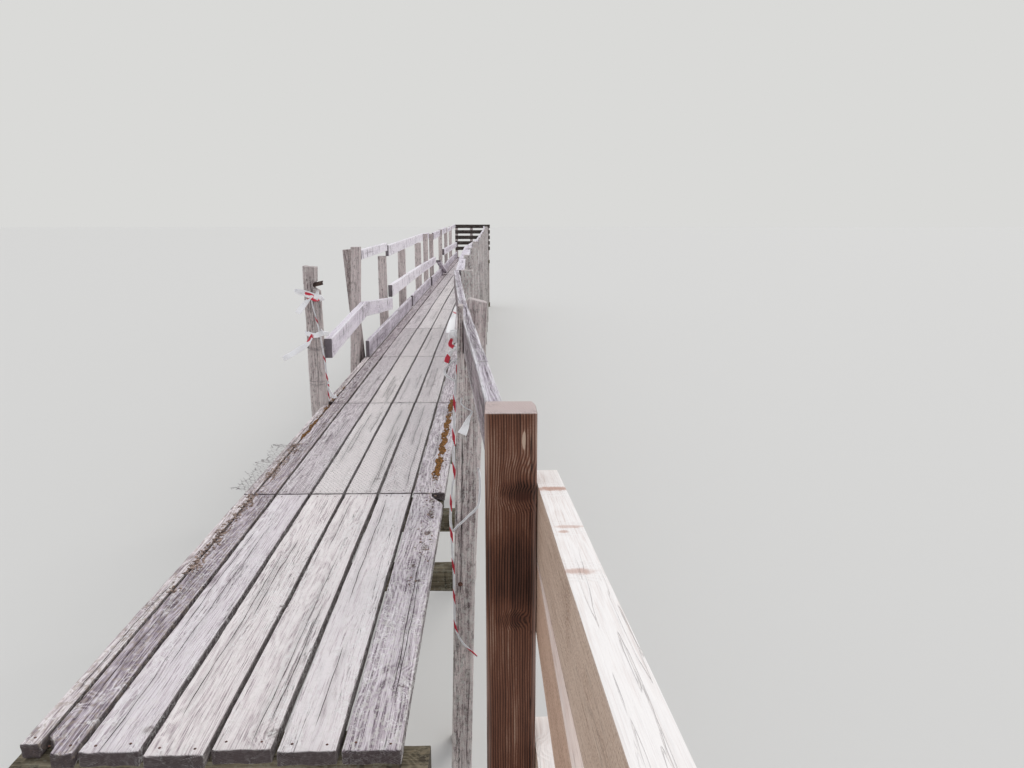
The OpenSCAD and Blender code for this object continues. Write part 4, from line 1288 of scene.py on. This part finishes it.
def tape(name, seed, points, widths, reds=(1,), phase=0.0, roll=0.0):
    """A length of tape along a path, pleated so that it shows only as wide as widths says there.

    reds says what shows along the path: 0 white folds, 1 the printed blocks, 2 red folds."""
    path, place = smooth_path(points)
    shown, red = (np.interp(place, np.linspace(0, len(points) - 1, len(values)), values)
                  for values in (widths, reds))
    tangent = np.gradient(path, axis=0)
    tangent /= np.linalg.norm(tangent, axis=1)[:, None]
    toward = (0.0, -1.0, 0.25)  # the tape's face looks to the entrance on the whole
    across = np.cross(tangent, toward)
    across /= np.linalg.norm(across, axis=1)[:, None] + 1e-9
    normal = np.cross(across, tangent)
    turn = (roll + 0.35 * ripple(place, seed, 2.5, 2))[:, None]
    side = across * np.cos(turn) + normal * np.sin(turn)
    front = normal * np.cos(turn) - across * np.sin(turn)
    rng = random.Random(seed)
    places = np.linspace(-0.5, 0.5, PLEATS + 1)
    ups = np.array([(1 if k % 2 else -1) * rng.uniform(0.7, 1.3) for k in range(PLEATS + 1)])
    rise = np.sqrt(np.clip(TAPE_W**2 - shown**2, 0, None)) / PLEATS / 2
    grid = (path[:, None] + side[:, None] * np.outer(shown, places)[..., None]
            + front[:, None] * np.outer(rise, ups)[..., None])
    count, ring = grid.shape[:2]
    along = np.concatenate([[0], np.cumsum(np.linalg.norm(np.diff(path, axis=0), axis=1))])
    index = np.arange(count * ring).reshape(count, ring)
    quads = np.stack([index[:-1, :-1], index[:-1, 1:], index[1:, 1:], index[1:, :-1]], axis=-1).reshape(-1, 4)
    mesh = plain_mesh(name, grid.reshape(-1, 3), quads.tolist())
    add_layer(mesh, "strip", np.stack([
        np.repeat(along + phase, ring), np.tile(places * TAPE_W, count), np.repeat(red, ring)], axis=-1))
    mesh.materials.append(TAPE)
    obj = finish_piece(name, mesh)
    obj.modifiers.new("film", "SOLIDIFY").thickness = FILM


tape("tape_bow_on_left_post", 1, (
    (-0.6, 4.243, 2.52), (-0.65, 4.235, 2.545), (-0.715, 4.2, 2.574), (-0.757, 4.17, 2.583),
    (-0.72, 4.16, 2.566), (-0.665, 4.22, 2.538), (-0.62, 4.24, 2.51), (-0.584, 4.25, 2.52),
    (-0.57, 4.28, 2.49)),
    (0.042, 0.034, 0.026, 0.032, 0.046, 0.048, 0.042), (0.3, 0, 0, 0, 0, 1.5, 2, 0.2, 0), phase=0.09)
tape("tape_tail_on_left_post", 2, (
    (-0.648, 4.238, 2.532), (-0.679, 4.2, 2.492), (-0.715, 4.17, 2.446), (-0.748, 4.15, 2.402)),
    (0.014, 0.034, 0.048, 0.048), (2, 0.8, 0, 0, 0), phase=0.13)
tape("tape_wrap_on_left_post", 3, (
    (-0.618, 4.24, 2.5), (-0.61, 4.236, 2.53), (-0.6, 4.238, 2.556), (-0.598, 4.24, 2.585)),
    (0.04, 0.044, 0.026, 0.01), (0,), phase=0.02)
tape("tape_strand_on_left_post", 4, (
    (-0.652, 4.24, 2.522), (-0.644, 4.238, 2.456), (-0.62, 4.238, 2.348), (-0.601, 4.238, 2.248),
    (-0.583, 4.238, 2.121), (-0.566, 4.24, 1.975), (-0.558, 4.25, 1.818), (-0.553, 4.27, 1.64)),
    (0.011, 0.012, 0.014, 0.012), (0.4, 1, 0.6, 1, 1), roll=0.4)
tape("tape_band_on_left_post", 5, (
    (-0.716, 4.26, 2.24), (-0.69, 4.238, 2.22), (-0.636, 4.236, 2.206), (-0.594, 4.238, 2.218),
    (-0.564, 4.25, 2.222), (-0.535, 4.3, 2.208)),
    (0.034, 0.042, 0.044, 0.038, 0.036), (0, 0, 0.6, 0, 0), phase=0.125)
tape("tape_corner_on_left_post", 6, (
    (-0.585, 4.236, 2.262), (-0.58, 4.238, 2.235), (-0.572, 4.238, 2.205)), (0.006, 0.024, 0.03), (0,))
tape("tape_flying_on_left_post", 7, (
    (-0.655, 4.236, 2.212), (-0.674, 4.21, 2.176), (-0.7, 4.19, 2.137), (-0.759, 4.17, 2.099),
    (-0.823, 4.15, 2.06), (-0.884, 4.14, 2.028)),
    (0.028, 0.034, 0.042, 0.046, 0.04), (2, 1.6, 0.3, 0, 0, 0), phase=0.1)
tape("tape_foot_of_left_post", 8, (
    (-0.552, 4.25, 1.79), (-0.547, 4.245, 1.757), (-0.53, 4.24, 1.716), (-0.506, 4.24, 1.68),
    (-0.488, 4.25, 1.69), (-0.5, 4.26, 1.672)),
    (0.014, 0.016, 0.024, 0.03, 0.018), (1, 0.7, 0, 0, 0), phase=0.04)
tape("tape_hanging_strip", 9, (
    (0.654, 1.9, 2.704), (0.652, 1.75, 2.678), (0.65, 1.6, 2.652), (0.65, 1.46, 2.63)),
    (0.01, 0.024, 0.038, 0.042), (0.6, 0.9, 0.5, 0), phase=0.09)
tape("tape_knot", 10, (
    (0.65, 1.45, 2.632), (0.672, 1.42, 2.64), (0.689, 1.41, 2.621), (0.68, 1.4, 2.602), (0.659, 1.4, 2.609),
    (0.655, 1.4, 2.626), (0.672, 1.385, 2.637), (0.682, 1.38, 2.618)),
    (0.024, 0.02, 0.026, 0.018), (0.6, 0, 0.8, 0, 0.9, 0), phase=0.135)
tape("tape_red_fold", 11, (
    (0.662, 1.4, 2.612), (0.653, 1.38, 2.593), (0.662, 1.37, 2.58), (0.686, 1.345, 2.58), (0.7, 1.33, 2.583)),
    (0.014, 0.02, 0.014, 0.007), (2, 1.4, 2, 0, 0), phase=0.008)
tape("tape_bow", 12, (
    (0.688, 1.36, 2.572), (0.67, 1.38, 2.562), (0.652, 1.385, 2.546), (0.64, 1.375, 2.522),
    (0.634, 1.36, 2.5)),
    (0.008, 0.01, 0.018, 0.024, 0.02), (0, 0, 0.4, 2, 0.5), phase=0.105)
tape("tape_loop_below_bow", 13, (
    (0.69, 1.39, 2.517), (0.66, 1.39, 2.502), (0.633, 1.38, 2.476), (0.626, 1.37, 2.459), (0.642, 1.36, 2.44),
    (0.68, 1.35, 2.419)), (0.008, 0.01, 0.013, 0.012, 0.009), (0.9, 0.6, 0, 0, 0.2))
tape("tape_long_strand", 14, (
    (0.683, 1.38, 2.493), (0.68, 1.36, 2.422), (0.672, 1.345, 2.355), (0.668, 1.335, 2.238),
    (0.665, 1.33, 2.142), (0.665, 1.325, 2.033), (0.666, 1.32, 1.979), (0.656, 1.32, 1.919),
    (0.648, 1.32, 1.835), (0.645, 1.32, 1.774), (0.648, 1.32, 1.698), (0.65, 1.32, 1.622),
    (0.653, 1.32, 1.544), (0.656, 1.32, 1.466), (0.656, 1.32, 1.335), (0.657, 1.32, 1.217),
    (0.671, 1.32, 1.158), (0.696, 1.31, 1.116), (0.73, 1.305, 1.084), (0.764, 1.3, 1.05)),
    (0.008, 0.012, 0.014, 0.014, 0.01, 0.012, 0.013, 0.011, 0.011, 0.011, 0.009, 0.007), phase=0.02)
tape("tape_fan", 15, (
    (0.707, 1.325, 2.348), (0.702, 1.325, 2.324), (0.725, 1.32, 2.3), (0.753, 1.318, 2.284),
    (0.739, 1.31, 2.257), (0.722, 1.305, 2.216), (0.706, 1.3, 2.182)),
    (0.008, 0.006, 0.005, 0.008, 0.03, 0.044), (0.5, 0.6, 0.2, 0, 0, 0), roll=0.15)
tape("tape_loop_round_post", 16, (
    (0.776, 1.37, 1.998), (0.785, 1.34, 1.957), (0.786, 1.318, 1.903), (0.78, 1.31, 1.842),
    (0.764, 1.306, 1.812), (0.729, 1.304, 1.779), (0.69, 1.304, 1.741), (0.658, 1.315, 1.702)),
    (0.01, 0.012, 0.012, 0.01), (0.5, 0, 0.3, 0, 0, 0.8, 0), phase=0.1)

# Floor, light and camera. Angles are in degrees.
FLOOR_REACH, FLOOR_Z = 300, -0.001
SKY_COLOUR, SKY_STRENGTH, BACKDROP = (0.94, 0.96, 1.0, 1), 0.745, "#dadad8"
SUN_STRENGTH, SUN_SPREAD, SUN_COLOUR = 1.15, 28, (1.0, 0.98, 0.95)
SUN_TURN = (-35, 28, 0)
CAMERA_PLACE = (0.867, -2.118, 3.15)
CAMERA_LENS, CAMERA_DOWN, CAMERA_RIGHT = 27.07, 12.1, 1.157

floor_corners = [(x * FLOOR_REACH, y * FLOOR_REACH, FLOOR_Z) for x, y in ((-1, -1), (1, -1), (1, 1), (-1, 1))]
floor_mesh = plain_mesh("studio_floor", floor_corners, [(0, 1, 2, 3)])
material, tree = new_material("pale_studio_floor")
add(tree, OUTPUT, (add(tree, SURFACE, {"Base Color": linear("#d8d7d4"), "Roughness": 0.9}),))
floor_mesh.materials.append(material)
put("studio_floor", floor_mesh)

world = bpy.data.worlds.new("soft_sky")
bpy.context.scene.world = world
world.use_nodes = True
tree = world.node_tree
tree.nodes.clear()
sky = add(tree, "ShaderNodeBackground", {"Color": SKY_COLOUR, "Strength": SKY_STRENGTH})
seen = add(tree, "ShaderNodeBackground", {"Color": linear(BACKDROP), "Strength": 1.0})
rays = add(tree, "ShaderNodeLightPath").node.outputs
shown = add(tree, MATH, (rays["Is Camera Ray"], rays["Is Glossy Ray"]), **LARGER)
shown = add(tree, MATH, (shown, rays["Is Transmission Ray"]), **LARGER)
add(tree, "ShaderNodeOutputWorld", (add(tree, "ShaderNodeMixShader", (shown, sky, seen)),))

sun = bpy.data.lights.new("soft_sun", "SUN")
sun.energy = SUN_STRENGTH
sun.angle = math.radians(SUN_SPREAD)
sun.color = SUN_COLOUR
put("soft_sun", sun).rotation_euler = [math.radians(angle) for angle in SUN_TURN]

camera_data = bpy.data.cameras.new("camera")
camera_data.lens = CAMERA_LENS
camera_data.clip_start = 0.02
camera_data.clip_end = 2 * FLOOR_REACH
camera = put("camera", camera_data)
camera.location = CAMERA_PLACE
camera.rotation_euler = (math.radians(90 - CAMERA_DOWN), 0, math.radians(-CAMERA_RIGHT))
bpy.context.scene.camera = camera
bpy.context.scene.view_settings.view_transform = "Standard"
